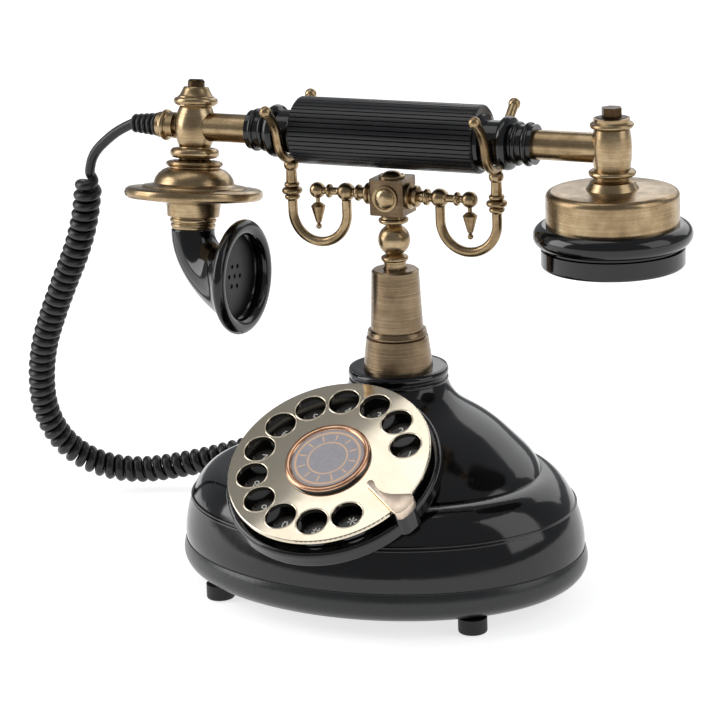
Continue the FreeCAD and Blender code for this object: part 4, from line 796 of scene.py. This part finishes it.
# Pale floor that glows a little for the camera and in reflections, and a grey sky
stageSpec = {
    "floorSize": 12.0, "floorZ": -0.0003, "floorColour": "#d9d9d9", "floorRoughness": 0.9, "glow": 0.72,
    "skyColour": "#b9bbbf", "skyStrength": 0.55,
}


def makeStage(spec):
    deselectAll()
    bpy.ops.mesh.primitive_plane_add(size=spec["floorSize"], location=(0, 0, spec["floorZ"]))
    floor = bpy.context.object
    floor.name = "studioFloor"
    material, tree, shader = startMaterial("palePaper", {
        "Roughness": spec["floorRoughness"], "Base Color": linear(spec["floorColour"]),
        "Emission Color": (1, 1, 1, 1)})
    rays = addNode(tree, "ShaderNodeLightPath").outputs
    seen = addNode(tree, "ShaderNodeMath", {"operation": "MAXIMUM"}, {
        0: rays["Is Camera Ray"], 1: rays["Is Glossy Ray"]}).outputs[0]
    seen = addNode(tree, "ShaderNodeMath", {"operation": "MAXIMUM"}, {
        0: seen, 1: rays["Is Transmission Ray"]}).outputs[0]
    glow = addNode(tree, "ShaderNodeMath", {"operation": "MULTIPLY"}, {0: seen, 1: spec["glow"]}).outputs[0]
    tree.links.new(glow, shader.inputs["Emission Strength"])
    floor.data.materials.append(material)
    world = bpy.data.worlds.new("studioWorld")
    world.use_nodes = True
    bpy.context.scene.world = world
    sky = world.node_tree.nodes["Background"].inputs
    sky["Color"].default_value = linear(spec["skyColour"])
    sky["Strength"].default_value = spec["skyStrength"]
    bpy.context.scene.view_settings.view_transform = "Standard"


# Softboxes in metres, each with the brightness of its face
lampSpec = {
    "overhead": {"place": (-0.394, -0.098, 1.35), "aim": (-0.394, -0.097, 0), "size": (1.0, 0.6),
                 "spinDeg": 47, "radiance": 1.2},
    "leftBox": {"place": (-1.35, -0.55, 0.75), "aim": (0, 0, 0.12), "size": (0.9, 1.3),
                "spinDeg": 0, "radiance": 3.6},
    "rightBox": {"place": (1.35, 0.05, 0.8), "aim": (0, 0, 0.12), "size": (0.9, 1.3),
                 "spinDeg": 0, "radiance": 1.4},
    "backBox": {"place": (0.1, 1.45, 0.85), "aim": (0, 0, 0.15), "size": (1.7, 0.9),
                "spinDeg": 0, "radiance": 1.2},
}


def makeLamps(spec):
    for name, lamp in spec.items():
        light = bpy.data.lights.new(name, "AREA")
        light.shape = "RECTANGLE"
        light.size, light.size_y = lamp["size"]
        light.energy = lamp["radiance"] * math.pi * light.size * light.size_y
        holder = bpy.data.objects.new(name, light)
        bpy.context.collection.objects.link(holder)
        holder.location = lamp["place"]
        look = (Vector(lamp["aim"]) - Vector(lamp["place"])).to_track_quat("-Z", "Y")
        spin = Quaternion((0, 0, 1), math.radians(lamp["spinDeg"]))
        holder.rotation_euler = (look @ spin).to_euler()


# The photograph's own view
cameraSpec = {
    "place": (0.447204, -0.945828, 0.396193), "aim": (-0.011109, 0.008180, 0.0965),
    "rollDeg": -2.16, "lensMm": 133.16, "sensorMm": 36,
}


def makeCamera(spec):
    data = bpy.data.cameras.new("photoCamera")
    data.lens = spec["lensMm"]
    data.sensor_width = spec["sensorMm"]
    camera = bpy.data.objects.new("photoCamera", data)
    bpy.context.collection.objects.link(camera)
    look = (Vector(spec["aim"]) - Vector(spec["place"])).to_track_quat("-Z", "Y")
    camera.rotation_mode = "QUATERNION"
    camera.rotation_quaternion = look @ Quaternion((0, 0, 1), math.radians(spec["rollDeg"]))
    camera.location = spec["place"]
    bpy.context.scene.camera = camera


makeStage(stageSpec)
makeLamps(lampSpec)
makeCamera(cameraSpec)
print("stage, lamps and camera made")
